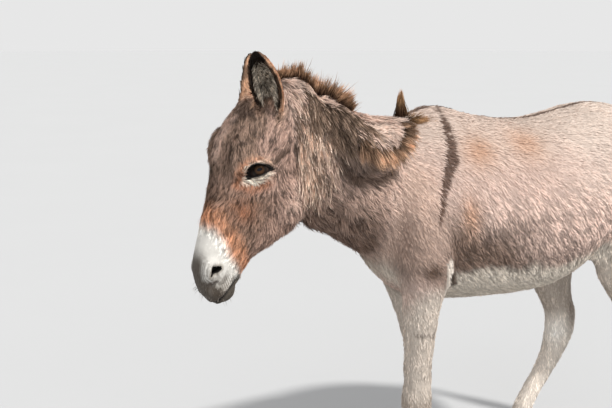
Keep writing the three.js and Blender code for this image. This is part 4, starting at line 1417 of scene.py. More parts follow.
def make_coat():
    grows = 1 - bare_skin(skin_own)
    left = (skin_own[:, 0] > 0).astype(float)
    front = (skin_own[:, 1] < TRUNK_SPLIT).astype(float)
    weights = {r: skin_shares[:, k] * grows for k, r in enumerate(REGIONS)}
    part = {"shoulder": front, "rump": 1 - front}
    for side, here, counts in (("left", left, COUNTS), ("right", 1 - left, RIGHT_COUNTS)):
        for name, region in COAT_PIECES:
            weight = weights[region] * here * part.get(name, 1)
            coat_piece(f"coat_{name}_{side}", region, counts[region], weight)
    coat_piece("coat_tail", "tail", COUNTS["tail"], weights["tail"])


# ---- Long hair, from the mane to the whiskers ----
HAIR_PAINT = {  # at the root and at the tip
    "mane": (paint("231813"), paint("94735a")),
    "fall": (paint("382d26"), paint("8f7a6a")),
    "strands": (paint("6b584c"), paint("c9b2a1")),
    "fringe": (paint("35271f"), paint("a98a72")),
    "tuft": (paint("33241b"), paint("b08a66")),
    "switch": (paint("2c221c"), paint("5a4536")),
    "ear_hair": (paint("41372f"), paint("b5aa9b")),
    "lash": (paint("0c0a09"), paint("1a1512")),
    "whisker": (paint("2a2522"), paint("8a8279")),
    "poll": (paint("8f705a"), paint("dcbda3")),
}
DOWN = np.array([0.0, 0.0, -1.0])
HAIR_SINK = 0.002  # of a long hair's root into the skin


def onto_skin(points):
    """The nearest places on the skin, and the skin's normals there."""
    hits = [skin_tree.find_nearest(p)[:2] for p in points.tolist()]
    return np.array([h[0][:] for h in hits]), np.array([h[1][:] for h in hits])


def along_path(path, places):
    """Points of a path, given in millimetres, at places from 0 to 1."""
    path = np.array(path, float) / 1000
    at = np.linspace(0, 1, len(path))
    return np.stack([np.interp(places, at, path[:, k]) for k in range(3)], axis=1)


def lock_numbers(roots, size):
    """Shares hairs out between locks of about this size: each hair's lock, and how many locks there are."""
    cell = np.round(roots / size + rng.normal(0, 0.25, roots.shape)).astype(int)
    key = cell[:, 0] * 7919 + cell[:, 1] * 104729 + cell[:, 2] * 1299709
    names, which = np.unique(key, return_inverse=True)
    return which, len(names)


def free_hairs(roots, ahead, length, locks, levels=5, droop=0.0, gather=0.8, stray=0.5, curl=0.02):
    """Hairs that stand off the skin. They droop, wave, and gather towards the tips of their locks."""
    which, lock_count = locks
    t = np.linspace(0, 1, levels)
    hairs = roots[:, None] + unit(ahead)[:, None] * (length[:, None] * t)[:, :, None]
    hairs = hairs + DOWN * (droop * length[:, None] * t**2)[:, :, None]
    wave = unit(np.cross(ahead, rng.normal(size=roots.shape)))
    phase = rng.random(len(roots))[:, None] * 2 * np.pi
    swing = (np.sin(t * 5 + phase) - np.sin(phase)) * t * curl
    hairs = hairs + wave[:, None] * (swing * length[:, None])[:, :, None]
    number = np.bincount(which, minlength=lock_count)
    tips = np.stack([np.bincount(which, hairs[:, -1, k], lock_count) / number for k in range(3)], axis=1)
    reach = np.bincount(which, length, lock_count) / number
    tips = tips + rng.normal(0, 1, tips.shape) * (reach * stray * 0.3)[:, None]
    pull = gather * rng.random(len(roots)) ** 0.5
    towards = tips[which] - hairs[:, -1]
    return hairs + towards[:, None] * (pull[:, None] * t**1.5)[:, :, None]


def laid_hairs(roots, ahead, length, levels, lift, locks):
    """Hairs that run over the skin, close to it, and draw together into locks."""
    which, lock_count = locks
    number = np.bincount(which, minlength=lock_count)
    points, way, rows = roots, unit(ahead), [roots]
    for k in range(1, levels):
        points, normals = onto_skin(points + way * (length / (levels - 1))[:, None])
        way = unit(way - normals * (way * normals).sum(axis=1, keepdims=True))
        height = lift * math.sin(2.4 * k / (levels - 1))
        row = points + normals * height[:, None]
        middle = np.stack([np.bincount(which, row[:, a], lock_count) / number for a in range(3)], axis=1)
        off = middle[which] - row
        off -= way * (off * way).sum(axis=1, keepdims=True)
        rows.append(row + off * 0.6 * (k / (levels - 1)) ** 0.5)
    return np.stack(rows, axis=1)


def hair_piece(name, region, hair, hairs, width, light):
    """Joins hairs, given as hairs x levels x 3, into a piece. light multiplies each hair's colour."""
    roots = hairs[:, 0]
    way = unit(hairs[:, -1] - hairs[:, 0])
    sides = unit(np.cross(way, rng.normal(size=roots.shape)))
    out = np.cross(sides, way)
    flip = np.where((out * (roots - onto_axis(roots))).sum(axis=1) < 0, -1.0, 1.0)[:, None]
    root_paint, tip_paint = HAIR_PAINT[hair]
    light = (light * rng.normal(1, 0.15, len(roots))).clip(0.35, 1.9)[:, None]
    colours, tips = root_paint * light * 1.2, tip_paint * light
    obj = tuft_mesh(name, region, roots, hairs, -sides * flip, width, out * flip, colours, tips)
    obj.data.materials.append(MATERIALS["hair"])
    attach(obj, "root")
    return obj


def onto_axis(points):
    """The animal's middle line at each point's length, to tell outwards from inwards."""
    y = points[:, 1]
    z = np.interp(y, [-0.95, -0.8, -0.6, -0.4, 0.5], [0.85, 1.05, 1.0, 0.9, 0.9])
    return np.stack([np.zeros(len(points)), y, z], axis=1)


def lock_light(locks, spread):
    """A brightness for each hair that is the same throughout its lock."""
    which, count = locks
    return np.exp(rng.normal(0, spread, count))[which]


def widths(count, middle):
    return rng.normal(middle, middle * 0.22, count).clip(middle * 0.5, middle * 1.6) / 1000


# The mane stands up from behind the ears and thins out where the crest falls over.
MANE_LINE = [(0, -800, 1200), (0, -745, 1235), (4, -690, 1232), (8, -640, 1212), (20, -596, 1190),
             (46, -565, 1165)]
MANE_RISE = (16, 32, 46, 56, 50, 30)  # mm


def mane():
    count = 6200
    place = rng.random(count) ** 0.95
    spot = along_path(MANE_LINE, place) + rng.normal(0, 1, (count, 3)) * [0.008, 0.004, 0.002]
    roots, normals = onto_skin(spot)
    locks = lock_numbers(roots * [1, 1, 0], 0.011)
    tall = np.interp(place, np.linspace(0, 1, len(MANE_RISE)), MANE_RISE) / 1000
    uneven = np.exp(rng.normal(0, 0.18, locks[1]))[locks[0]]
    length = tall * uneven * rng.normal(0.78, 0.28, count).clip(0.25, 1.25)
    lean = np.outer(smooth(0.5, 1.0, place), [0.45, 0.75, -0.35])
    ahead = np.array([0, 0.20, 1.0]) + lean + rng.normal(0, 0.12, (count, 3)) + normals * 0.2
    hairs = free_hairs(roots - normals * HAIR_SINK, ahead, length, locks, 5, 0.0, 0.65, 0.75)
    # the mane is darker towards the ears, partly painted shade
    light = lock_light(locks, 0.30) * (1 - 0.35 * smooth(0.35, 0.05, place))
    obj = hair_piece("mane_hair", "neck", "mane", hairs, widths(count, 1.1), light)
    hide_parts("mane")


FORELOCK_LINE = [(46, -812, 1205), (30, -828, 1195), (12, -846, 1183), (-10, -850, 1175)]


def forelock():
    """The ridge of light hair between the ears. It lies forwards over the top of the forehead."""
    count = 1800
    spot = along_path(FORELOCK_LINE, rng.random(count))
    roots, normals = onto_skin(spot + rng.normal(0, 1, (count, 3)) * [0.006, 0.010, 0.006])
    ahead = np.array([-0.35, -0.75, -0.9]) + normals * 0.10 + rng.normal(0, 0.12, (count, 3))
    length = rng.normal(0.024, 0.005, count).clip(0.010, 0.036)
    locks = lock_numbers(roots, 0.010)
    hairs = free_hairs(roots - normals * HAIR_SINK, ahead, length, locks, 4, 0.2, 0.8)
    hair_piece("forelock", "head", "poll", hairs, widths(count, 1.3), lock_light(locks, 0.2))


# Long hair that hangs round the pale top of the fallen crest.
FRINGE_LINE = [(50, -578, 1158), (77, -556, 1141), (107, -558, 1119), (121, -553, 1099), (124, -520, 1089),
               (118, -488, 1089), (100, -452, 1099), (66, -418, 1114), (34, -394, 1126)]
FRINGE_LENGTH = (36, 50, 66, 66, 60, 58, 56, 50, 44)
FRINGE_WAY = [(500, -250, -800), (450, -100, -1000), (400, 50, -1000), (400, 200, -1000), (350, 300, -1000),
              (350, 500, -900), (350, 800, -750), (350, 1000, -500), (400, 1000, -150)]


def fringe():
    count = 7000
    place = rng.random(count)
    spot = along_path(FRINGE_LINE, place) + rng.normal(0, 1, (count, 3)) * [0.006, 0.008, 0.006]
    roots, normals = onto_skin(spot)
    length = np.interp(place, np.linspace(0, 1, len(FRINGE_LENGTH)), FRINGE_LENGTH) / 1000
    length = length * rng.normal(0.85, 0.22, count).clip(0.3, 1.3)
    locks = lock_numbers(roots, 0.015)
    ahead = along_path(FRINGE_WAY, place) + normals * 0.3 + rng.normal(0, 0.12, (count, 3))
    hairs = free_hairs(roots - normals * HAIR_SINK, ahead, length, locks, 5, 0.25, 0.88, 0.7, 0.03)
    light = lock_light(locks, 0.65) * (1 - 0.45 * smooth(0.80, 0.95, place))
    hair_piece("crest_fringe", "neck", "fringe", hairs, widths(count, 1.3), light)


FALL_LINE = [(40, -712, 1226), (40, -680, 1222), (44, -645, 1198), (52, -610, 1180), (62, -575, 1155)]


def crest_fall():
    """Dark hair of the fallen mane, that lies down over the front of the roll."""
    count = 3000
    place = rng.random(count)
    down = rng.random(count)[:, None] ** 1.3
    spot = along_path(FALL_LINE, place) + down * np.array([0.035, 0.02, -0.075])
    roots = onto_skin(spot + rng.normal(0, 0.004, (count, 3)))[0]
    ahead = np.array([0.15, 0.45, -1.0]) + rng.normal(0, 0.14, (count, 3))
    length = rng.normal(0.060, 0.014, count).clip(0.03, 0.10)
    locks = lock_numbers(roots, 0.011)
    hairs = laid_hairs(roots, ahead, length, 6, 0.006 + 0.007 * rng.random(count), locks)
    hair_piece("crest_fall", "neck", "fall", hairs, widths(count, 1.7), lock_light(locks, 0.45))


def neck_strands(sign, side):
    """Long wavy strands that run down the neck behind the cheek."""
    count = 3200
    here = hump(skin_own, (0.07 * sign, -0.69, 1.10), (0.05, 0.065, 0.13))
    roots = scatter(count, here * share(skin_shares, "neck") * (skin_own[:, 0] * sign > 0))[0]
    way = np.array([0, 0.20, -1.0]) + rng.normal(0, 0.12, (count, 3))
    way[:, 1] += 0.35 * noise(roots, 0.03, 2)
    length = rng.normal(0.056, 0.012, count).clip(0.03, 0.09)
    locks = lock_numbers(roots * [1, 1, 0.35], 0.0075)
    hairs = laid_hairs(roots, way, length, 6, 0.006 + 0.005 * rng.random(count), locks)
    width = widths(count, 1.5)
    hair_piece(f"neck_strands_{side}", "neck", "strands", hairs, width, lock_light(locks, 0.70))


TUFT_ROOT = (4, -368, 1128)


def withers_tuft():
    count = 1700
    upright = rng.random(count) < 0.5
    spot = np.array(TUFT_ROOT) / 1000 + rng.normal(0, 1, (count, 3)) * [0.005, 0.009, 0.003]
    spot[~upright] += [0.022, 0.010, -0.006]
    roots, normals = onto_skin(spot)
    ahead = np.where(upright[:, None], [-0.02, 0.02, 1.0], [0.45, 1.0, 0.05])
    ahead = ahead + rng.normal(0, 0.10, (count, 3))
    length = np.where(upright, 0.074, 0.058) * rng.normal(0.74, 0.24, count).clip(0.25, 1.1)
    locks = lock_numbers(roots, 0.010)
    hairs = free_hairs(roots - normals * HAIR_SINK, ahead, length, locks, 5, 0.0, 0.8, 0.5, 0.04)
    middle = np.array(TUFT_ROOT) / 1000 + [-0.002, -0.002, 0.0]
    narrow = (np.linspace(0, 1, 5) ** 1.2 * 0.75)[None, :, None] * upright[:, None, None]
    hairs[:, :, :2] += (middle[:2] - hairs[:, :, :2]) * narrow
    light = lock_light(locks, 0.30) * np.where(upright, 1.0, 0.62)
    obj = hair_piece("withers_hair", "neck", "tuft", hairs, widths(count, 1.2), light)
    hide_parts("withers_tuft")


TAIL_LINE = [(0, 604, 1052), (0, 640, 990), (0, 652, 900), (0, 650, 800), (0, 646, 735)]
SWITCH_END = 0.435  # own height of its tips
SWITCH_MIDDLE = np.array([0, 0.640])


def tail_switch():
    """Long hair from the lower half of the dock, that hangs in a switch."""
    count = 9000
    place = 1 - rng.random(count) ** 1.6 * 0.55
    angle = rng.random(count) * 2 * np.pi
    round_dock = np.stack([np.cos(angle), np.sin(angle), np.zeros(count)], axis=1)
    roots, normals = onto_skin(along_path(TAIL_LINE, place) + round_dock * 0.02)
    drop = roots[:, 2] - SWITCH_END
    length = (drop * rng.normal(0.80, 0.14, count)).clip(0.03, drop)
    ahead = DOWN + round_dock * (0.10 * rng.random(count))[:, None] + rng.normal(0, 0.03, (count, 3))
    locks = lock_numbers(roots, 0.012)
    hairs = free_hairs(roots - normals * HAIR_SINK / 2, ahead, length, locks, 6, 0.0, 0.5, 0.1)
    narrow = (np.linspace(0, 1, 6) ** 1.5 * 0.55)[None, :, None]
    hairs[:, :, :2] += (SWITCH_MIDDLE - hairs[:, :, :2]) * narrow
    width = widths(count, 1.9)
    obj = hair_piece("switch_hair", "tail", "switch", hairs, width, lock_light(locks, 0.25))
    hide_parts("tail_switch")


def ear_hair(sign, side):
    """Pale hair that fills the hollow of an ear and hangs over its near edge."""
    count = 3600
    t, inside, edge = in_ear(skin_own, sign)
    hollow = (inside > 0.0008) * (skin_own[:, 0] * sign > 0) * share(skin_shares, "ear")
    weight = hollow * smooth(0.76, 0.62, t) * smooth(0.02, 0.12, t) * (1 - 0.9 * edge)
    roots, normals = scatter(count, weight)[:2]
    length = np.interp(in_ear(roots, sign)[0], [0, 0.3, 0.8], [0.030, 0.026, 0.014])
    length = length * rng.normal(0.9, 0.2, count).clip(0.4, 1.3)
    way = ear_frame(sign)[2] * 0.8 + normals * 0.35 + rng.normal(0, 0.16, (count, 3))
    locks = lock_numbers(roots, 0.009)
    hairs = free_hairs(roots, way, length, locks, 4, 0.0, 0.75, 0.5, 0.04)
    width = widths(count, 1.2)
    hair_piece(f"ear_hair_{side}", "ear", "ear_hair", hairs, width, lock_light(locks, 0.55))


def lashes(sign, side):
    count = 150
    u, v, w = eye_axes(sign)
    angle = rng.uniform(0.35, 2.75, count)
    reach = lid_reach(angle) + 0.001
    spot = EYES[sign] - OFFSET + np.outer(np.cos(angle) * reach + LID_MIDDLE[0], u)
    spot = spot + np.outer(np.sin(angle) * reach + LID_MIDDLE[1], v) + 0.020 * w
    roots = onto_skin(spot)[0]
    ahead = w + np.outer(np.sin(angle) * 0.15 - 0.25, v) + np.outer(np.cos(angle) * 0.5 + 0.15, u)
    ahead = ahead + rng.normal(0, 0.10, (count, 3))
    length = rng.normal(0.016, 0.003, count).clip(0.008, 0.024)
    hairs = free_hairs(roots, ahead, length, lock_numbers(roots, 0.004), 4, 0.35, 0.3)
    hair_piece(f"lashes_{side}", "head", "lash", hairs, widths(count, 0.7), np.ones(count))


def whiskers(sign, side):
    count = 90
    spot = OWN_POLL + np.outer(rng.uniform(0.012, 0.045, count) * sign, SIDE)
    spot = spot + np.outer(rng.uniform(0.500, 0.566, count), ALONG)
    roots, normals = onto_skin(spot + np.outer(rng.uniform(-0.075, 0.015, count), DORSAL))
    ahead = normals + 0.35 * ALONG + rng.normal(0, 0.2, (count, 3))
    length = rng.uniform(0.006, 0.020, count)
    hairs = free_hairs(roots, ahead, length, lock_numbers(roots, 0.003), 4, 0.25, 0.1)
    hair_piece(f"whiskers_{side}", "head", "whisker", hairs, widths(count, 0.5), np.ones(count))


def make_hair():
    mane()
    forelock()
    fringe()
    crest_fall()
    withers_tuft()
    tail_switch()
    for sign, side in ((1, "left"), (-1, "right")):
        neck_strands(sign, side)
        ear_hair(sign, side)
        lashes(sign, side)
        whiskers(sign, side)


# ---- Eyes ----
CORNEA_ANGLE = 0.62  # radians from the eye's axis to the edge of its clear front
CORNEA_RISE = 0.0016
EYE_FRONT = EYE_RADIUS - 0.0004
EYE_ROUND, EYE_ROWS = 64, 40


def closed_rings(rings, around_ring):
    """Triangles over a stack of rings. Two points after them close the last ring, then the first."""
    this = np.arange(around_ring)
    after = (this + 1) % around_ring
    end = (rings - 1) * around_ring
    bands = []
    for start in range(0, end, around_ring):
        low, above = start + this, start + around_ring + this
        bands += [(low, start + after, above), (start + after, start + around_ring + after, above)]
    last, first = np.full_like(this, rings * around_ring), np.full_like(this, rings * around_ring + 1)
    bands += [(end + this, end + after, last), (after, this, first)]
    return np.concatenate([np.stack(band, axis=1) for band in bands])


def eyeball(sign, side):
    """A ball with a bulging clear front. It keeps where each place lies on it, for its iris and pupil."""
    polar = np.linspace(0, np.pi, EYE_ROWS + 1)[1:-1]
    turn = np.linspace(0, 2 * np.pi, EYE_ROUND, endpoint=False)
    bulge = EYE_FRONT + CORNEA_RISE * np.clip(1 - (polar / CORNEA_ANGLE) ** 2, 0, 1) ** 1.2
    parts = [np.outer(np.sin(polar), np.cos(turn)), np.outer(np.sin(polar), np.sin(turn))]
    parts.append(np.outer(np.cos(polar), np.ones(EYE_ROUND)))
    rings = np.stack(parts, axis=-1) * bulge[:, None, None]
    place = np.concatenate([rings.reshape(-1, 3), [[0, 0, -EYE_RADIUS], [0, 0, EYE_FRONT + CORNEA_RISE]]])
    faces = closed_rings(len(polar), EYE_ROUND)
    if sign > 0:
        faces = faces[:, ::-1]
    obj = new_object(f"{side}_eyeball", EYES[sign] + place @ np.array(eye_axes(sign)), faces.ravel(), 3)
    write_vectors(obj.data, "gaze", place / EYE_RADIUS)
    obj.data.shade_smooth()
    obj.data.materials.append(MATERIALS["eye"])
    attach(obj, "root")
    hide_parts(f"{side}_eye")


# ---- Hooves ----
HOOF_ROUND, HOOF_ROWS = 72, 34
HOOF_TURN = 2.2  # exponent of the hoof's outline: 2 is round and more is squarer
HOOF_TOP = (0.002, 0.024)  # of its top below its box's top, at the front and at the heel
TOE_SHIFT = 0.011  # of its top towards the heel


def hoof_rings(low, high):
    """Rings of a hoof that fills a box, from its flat sole to its sunken top."""
    middle, half = (low + high) / 2, (high - low) / 2
    turn = np.linspace(0, 2 * np.pi, HOOF_ROUND, endpoint=False)
    round_x, round_y = (np.sign(v) * np.abs(v) ** (2 / HOOF_TURN) for v in (np.cos(turn), np.sin(turn)))
    top = high[2] - np.interp(round_y, [-1, 1], HOOF_TOP)
    rings = []
    for t in np.linspace(0, 1, HOOF_ROWS):
        size = 1 - 0.155 * t + 0.02 * smooth(0.88, 0.97, t) - 0.05 * smooth(0.96, 1.0, t)
        size *= 1 + 0.007 * math.sin(t * 34) + 0.004 * math.sin(t * 83)  # growth rings
        size *= 1 - 0.06 * smooth(0.05, 0.0, t)
        x = middle[0] + half[0] * 0.99 * round_x * size
        y = middle[1] + TOE_SHIFT * t + (half[1] * 0.99 - 0.001) * round_y * size
        rings.append(np.stack([x, y, top * t], axis=1))
    last = rings[-1]
    for shrink, drop in ((0.75, 0.002), (0.3, 0.004)):
        inner = last.mean(axis=0) + (last - last.mean(axis=0)) * shrink
        inner[:, 2] = last[:, 2] - drop
        rings.append(inner)
    return rings


def hoof(leg):
    """A hoof wall with growth rings, in the box of its solid."""
    rings = hoof_rings(*(np.array(corner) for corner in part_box(f"{leg}_hoof")))
    verts = np.concatenate([*rings, [rings[-1].mean(axis=0), rings[0].mean(axis=0)]])
    obj = new_object(f"{leg}_hoof_wall", verts, closed_rings(len(rings), HOOF_ROUND).ravel(), 3)
    obj.data.shade_smooth()
    obj.data.materials.append(MATERIALS["horn"])
    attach(obj, "root")
    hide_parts(f"{leg}_hoof")


# ---- Materials ----
def node_group(name, inputs, outputs):
    """A new shader group. inputs are (name, type, default) and outputs are (name, type)."""
    group = bpy.data.node_groups.new(name, "ShaderNodeTree")
    for label, kind, value in inputs:
        group.interface.new_socket(label, in_out="INPUT", socket_type=kind).default_value = value
    for label, kind in outputs:
        group.interface.new_socket(label, in_out="OUTPUT", socket_type=kind)
    return group, group.nodes.new("NodeGroupInput"), group.nodes.new("NodeGroupOutput")


def add_node(tree, kind, **values):
    """A node with some of its inputs and properties set."""
    node = tree.nodes.new(kind)
    for key, value in values.items():
        if hasattr(node, key):
            setattr(node, key, value)
        else:
            node.inputs[key.replace("_", " ")].default_value = value
    return node


def math_node(tree, operation, a, b):
    node = add_node(tree, "ShaderNodeMath", operation=operation)
    for socket, value in zip(node.inputs, (a, b)):
        if isinstance(value, (int, float)):
            socket.default_value = value
        else:
            tree.links.new(value, socket)
    return node.outputs[0]


def fine_grain_group():
    """Small light and dark specks in a colour, and a height for bump."""
    inputs = [("Colour", "NodeSocketColor", (0.5, 0.5, 0.5, 1)), ("Scale", "NodeSocketFloat", 400.0)]
    inputs += [("Depth", "NodeSocketFloat", 0.25)]
    outputs = [("Colour", "NodeSocketColor"), ("Height", "NodeSocketFloat")]
    tree, given, result = node_group("fine_grain", inputs, outputs)
    place = add_node(tree, "ShaderNodeTexCoord")
    specks = add_node(tree, "ShaderNodeTexNoise", Detail=3.0, Roughness=0.6)
    tree.links.new(place.outputs["Object"], specks.inputs["Vector"])
    tree.links.new(given.outputs["Scale"], specks.inputs["Scale"])
    centred = math_node(tree, "SUBTRACT", specks.outputs[0], 0.5)
    swing = math_node(tree, "MULTIPLY", centred, given.outputs["Depth"])
    gain = math_node(tree, "ADD", swing, 1.0)
    shaded = add_node(tree, "ShaderNodeVectorMath", operation="SCALE")
    tree.links.new(given.outputs["Colour"], shaded.inputs[0])
    tree.links.new(gain, shaded.inputs["Scale"])
    tree.links.new(shaded.outputs[0], result.inputs["Colour"])
    tree.links.new(specks.outputs[0], result.inputs["Height"])
    return tree


def new_material(name):
    mat = bpy.data.materials.new(name)
    mat.use_nodes = True
    tree = mat.node_tree
    return mat, tree, tree.nodes["Principled BSDF"]


def grained(tree, scale, depth):
    node = tree.nodes.new("ShaderNodeGroup")
    node.node_tree = GROUPS["fine_grain"]
    node.inputs["Scale"].default_value = scale
    node.inputs["Depth"].default_value = depth
    return node


def coat_attribute(tree):
    return add_node(tree, "ShaderNodeAttribute", attribute_name="coat").outputs["Color"]


# painted light: the back faces of the hair are brightened by this gain
BACK_GAIN = 1.9  # light comes through hair, so its far side is not dark


def lit_through(tree, colour):
    """The colour, brighter on the back faces of the hair: painted light that stands for light through the
    hair.
    """
    back = tree.nodes.new("ShaderNodeNewGeometry").outputs["Backfacing"]
    gain = math_node(tree, "ADD", math_node(tree, "MULTIPLY", back, BACK_GAIN - 1), 1.0)
    brighter = add_node(tree, "ShaderNodeVectorMath", operation="SCALE")
    tree.links.new(colour, brighter.inputs[0])
    tree.links.new(gain, brighter.inputs["Scale"])
    return brighter.outputs[0]


def tuft_material():
    mat, tree, shader = new_material("coat_tufts")
    grain = grained(tree, 900.0, 0.30)
    tree.links.new(coat_attribute(tree), grain.inputs["Colour"])
    tree.links.new(lit_through(tree, grain.outputs["Colour"]), shader.inputs["Base Color"])
    shader.inputs["Roughness"].default_value = 0.75
    shader.inputs["Specular IOR Level"].default_value = 0.0
    return mat


def skin_material():
    mat, tree, shader = new_material("hide")
    grain = grained(tree, 520.0, 0.5)
    tree.links.new(coat_attribute(tree), grain.inputs["Colour"])
    tree.links.new(grain.outputs["Colour"], shader.inputs["Base Color"])
    bump = add_node(tree, "ShaderNodeBump", Strength=0.5, Distance=0.0012)
    tree.links.new(grain.outputs["Height"], bump.inputs["Height"])
    tree.links.new(bump.outputs["Normal"], shader.inputs["Normal"])
    shader.inputs["Roughness"].default_value = 0.7
    shader.inputs["Specular IOR Level"].default_value = 0.3
    return mat


def hair_material():
    mat, tree, shader = new_material("long_hair")
    grain = grained(tree, 1500.0, 0.3)
    tree.links.new(coat_attribute(tree), grain.inputs["Colour"])
    tree.links.new(lit_through(tree, grain.outputs["Colour"]), shader.inputs["Base Color"])
    shader.inputs["Roughness"].default_value = 0.7
    shader.inputs["Specular IOR Level"].default_value = 0.0
    return mat


def ramp(tree, source, stops):
    """A colour that follows a value through stops of (place, colour)."""
    node = tree.nodes.new("ShaderNodeValToRGB")
    elements = node.color_ramp.elements
    while len(elements) < len(stops):
        elements.new(0.5)
    for element, (place, colour) in zip(elements, stops):
        element.position = place
        element.color = (*colour, 1)
    tree.links.new(source, node.inputs[0])
    return node.outputs[0]


PUPIL = (0.30, 0.17)  # half its width and height, as a share of the eye's radius
EYE_BROWNS = [  # from the eye's middle outwards
    (0.0, (0.010, 0.006, 0.004)),
    (0.30, (0.060, 0.030, 0.014)),
    (0.50, (0.036, 0.018, 0.009)),
    (0.56, (0.008, 0.006, 0.005)),  # the iris' edge
    (0.75, (0.020, 0.014, 0.011)),
    (1.0, (0.035, 0.024, 0.020)),
]


def sum_of_squares(tree, a, b):
    return math_node(tree, "ADD", math_node(tree, "POWER", a, 2), math_node(tree, "POWER", b, 2))


def eye_material():
    """A dark brown iris with a wide pupil, under a wet clear front, in a brown-black ball."""
    mat, tree, shader = new_material("wet_eye")
    gaze = add_node(tree, "ShaderNodeAttribute", attribute_name="gaze")
    parts = tree.nodes.new("ShaderNodeSeparateXYZ")
    tree.links.new(gaze.outputs["Vector"], parts.inputs[0])
    x, y = parts.outputs[0], parts.outputs[1]
    wide = math_node(tree, "DIVIDE", x, PUPIL[0])
    high = math_node(tree, "DIVIDE", y, PUPIL[1])
    pupil = sum_of_squares(tree, wide, high)
    reach = math_node(tree, "SQRT", sum_of_squares(tree, x, y), 0)
    angle = math_node(tree, "ARCTAN2", y, x)
    around_iris = tree.nodes.new("ShaderNodeCombineXYZ")
    tree.links.new(angle, around_iris.inputs[0])
    tree.links.new(reach, around_iris.inputs[1])
    fibres = add_node(tree, "ShaderNodeTexNoise", Scale=9.0, Detail=4.0)
    tree.links.new(around_iris.outputs[0], fibres.inputs["Vector"])
    blurred = math_node(tree, "ADD", reach, math_node(tree, "MULTIPLY", fibres.outputs[0], 0.05))
    iris = ramp(tree, blurred, EYE_BROWNS)
    dark = ramp(tree, pupil, [(0.75, (0.0, 0.0, 0.0)), (1.0, (1.0, 1.0, 1.0))])
    mix = add_node(tree, "ShaderNodeMix", data_type="RGBA")
    tree.links.new(dark, mix.inputs[0])
    mix.inputs[6].default_value = (0.004, 0.004, 0.006, 1)
    tree.links.new(iris, mix.inputs[7])
    tree.links.new(mix.outputs[2], shader.inputs["Base Color"])
    shader.inputs["Roughness"].default_value = 0.12
    shader.inputs["Specular IOR Level"].default_value = 0.05
    shader.inputs["Coat Weight"].default_value = 0.10
    shader.inputs["Coat Roughness"].default_value = 0.02
    return mat


def horn_material():
    """Grey-brown horn: rings that grow down from the coronet, and fine upright streaks."""
    mat, tree, shader = new_material("hoof_horn")
    place = add_node(tree, "ShaderNodeTexCoord")
    streak_place = add_node(tree, "ShaderNodeMapping", Scale=(1.0, 1.0, 0.06))
    tree.links.new(place.outputs["Object"], streak_place.inputs["Vector"])
    streaks = add_node(tree, "ShaderNodeTexNoise", Scale=420.0, Detail=3.0)
    tree.links.new(streak_place.outputs["Vector"], streaks.inputs["Vector"])
    ring_place = add_node(tree, "ShaderNodeMapping", Scale=(0.15, 0.15, 1.0))
    tree.links.new(place.outputs["Object"], ring_place.inputs["Vector"])
    rings = add_node(tree, "ShaderNodeTexNoise", Scale=130.0, Detail=2.0)
    tree.links.new(ring_place.outputs["Vector"], rings.inputs["Vector"])
    both = math_node(tree, "ADD", math_node(tree, "MULTIPLY", streaks.outputs[0], 0.5), rings.outputs[0])
    greys = [(0.45, (0.030, 0.026, 0.022)), (0.75, (0.085, 0.072, 0.060)), (1.0, (0.16, 0.14, 0.12))]
    colour = ramp(tree, both, greys)
    tree.links.new(colour, shader.inputs["Base Color"])
    rough = math_node(tree, "ADD", math_node(tree, "MULTIPLY", streaks.outputs[0], 0.25), 0.35)
    tree.links.new(rough, shader.inputs["Roughness"])
    bump = add_node(tree, "ShaderNodeBump", Strength=0.4, Distance=0.001)
    tree.links.new(both, bump.inputs["Height"])
    tree.links.new(bump.outputs["Normal"], shader.inputs["Normal"])
    return mat


# ---- Floor, light and camera ----
CAMERA_AT = (2.28, -1.90, 1.38)  # in the animal's own frame
CAMERA_AZIMUTH, CAMERA_TILT = math.radians(61.5), math.radians(10)
IMAGE_WIDTH = 612  # pixels
FOCAL = 1000  # pixels
SENSOR = 36  # mm
FLOOR_RADIUS = 60
FLOOR_COLOUR = (0.441, 0.445, 0.451, 1)


def add_camera():
    data = bpy.data.cameras.new("camera")
    data.sensor_fit = "HORIZONTAL"
    data.sensor_width = SENSOR
    data.lens = SENSOR * FOCAL / IMAGE_WIDTH
    camera = bpy.data.objects.new("camera", data)
    camera.location = np.array(CAMERA_AT) + OFFSET
    camera.rotation_euler = (math.pi / 2 - CAMERA_TILT, 0, CAMERA_AZIMUTH)
    bpy.context.scene.collection.objects.link(camera)
    bpy.context.scene.camera = camera


def add_sun(name, way, strength, softness, colour):
    """Even light that comes from a way, given as a vector towards it. softness is in degrees."""
    data = bpy.data.lights.new(name, "SUN")
    data.energy = strength
    data.angle = math.radians(softness)
    data.color = colour
    light = bpy.data.objects.new(name, data)
    light.rotation_euler = Vector(way).to_track_quat("Z", "Y").to_euler()
    bpy.context.scene.collection.objects.link(light)


WORLD_LIGHT = 0.80
KEY_FROM = (0.58, 0.30, 0.76)


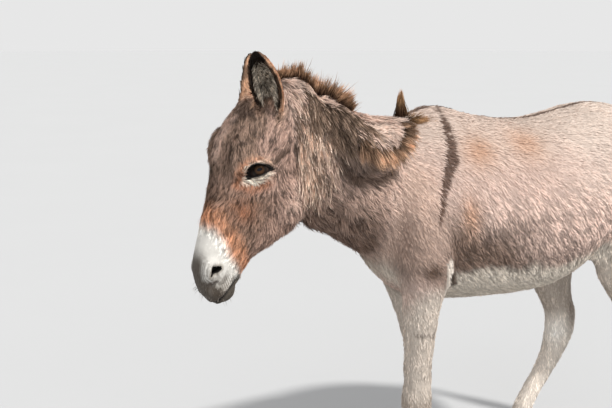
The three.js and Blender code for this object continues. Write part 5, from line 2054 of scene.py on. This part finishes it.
def add_light():
    add_sun("key", KEY_FROM, 3.75, 4, (1.0, 0.985, 0.955))
    add_sun("fill", (0.80, -0.50, 0.33), 0.75, 60, (0.95, 0.97, 1.0))
    world = bpy.data.worlds.new("studio")
    world.use_nodes = True
    background = world.node_tree.nodes["Background"]
    background.inputs["Color"].default_value = (1.0, 1.0, 1.0, 1)
    background.inputs["Strength"].default_value = WORLD_LIGHT
    bpy.context.scene.world = world


def add_floor():
    bm = bmesh.new()
    bmesh.ops.create_circle(bm, cap_ends=True, segments=96, radius=FLOOR_RADIUS)
    mesh = bpy.data.meshes.new("floor")
    bm.to_mesh(mesh)
    bm.free()
    floor = bpy.data.objects.new("floor", mesh)
    bpy.context.scene.collection.objects.link(floor)
    mesh.materials.append(floor_material())


def floor_material():
    """Pale matt paper, with a very faint unevenness."""
    mat, tree, shader = new_material("pale_floor")
    paper = grained(tree, 0.8, 0.03)
    paper.inputs["Colour"].default_value = FLOOR_COLOUR
    tree.links.new(paper.outputs["Colour"], shader.inputs["Base Color"])
    shader.inputs["Roughness"].default_value = 1.0
    shader.inputs["Specular IOR Level"].default_value = 0.0
    return mat


# ---- Putting it together ----
bpy.context.scene.view_settings.view_transform = "Standard"
GROUPS = {"fine_grain": fine_grain_group()}
MATERIALS = {
    "tufts": tuft_material(),
    "skin": skin_material(),
    "hair": hair_material(),
    "eye": eye_material(),
    "horn": horn_material(),
}

skin_mesh, skin_shares = make_skin()
skin_own = vertices_of(skin_mesh)
skin_tris = triangles_of(skin_mesh)
skin_normals = normals_of(skin_own, skin_tris)
skin_average = averager(edges_of(skin_mesh), len(skin_own))
skin_comb = combing()
skin_tree = BVHTree.FromPolygons(skin_own.tolist(), skin_tris.tolist())


def finish_skin():
    write_vertices(skin_mesh, skin_own + OFFSET)
    write_colours(skin_mesh, coat_colour(skin_own, skin_shares) * 0.8)
    skin_mesh.materials.append(MATERIALS["skin"])
    skin = bpy.data.objects.new("skin", skin_mesh)
    bpy.context.scene.collection.objects.link(skin)
    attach(skin, "root")
    for nodes in FLESH.values():
        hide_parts(*nodes)
    skin_mesh.shade_smooth()


finish_skin()
make_coat()
make_hair()
for eye_sign, eye_side in ((1, "left"), (-1, "right")):
    eyeball(eye_sign, eye_side)
for leg_name in LEGS:
    hoof(leg_name)

add_floor()
add_light()
add_camera()
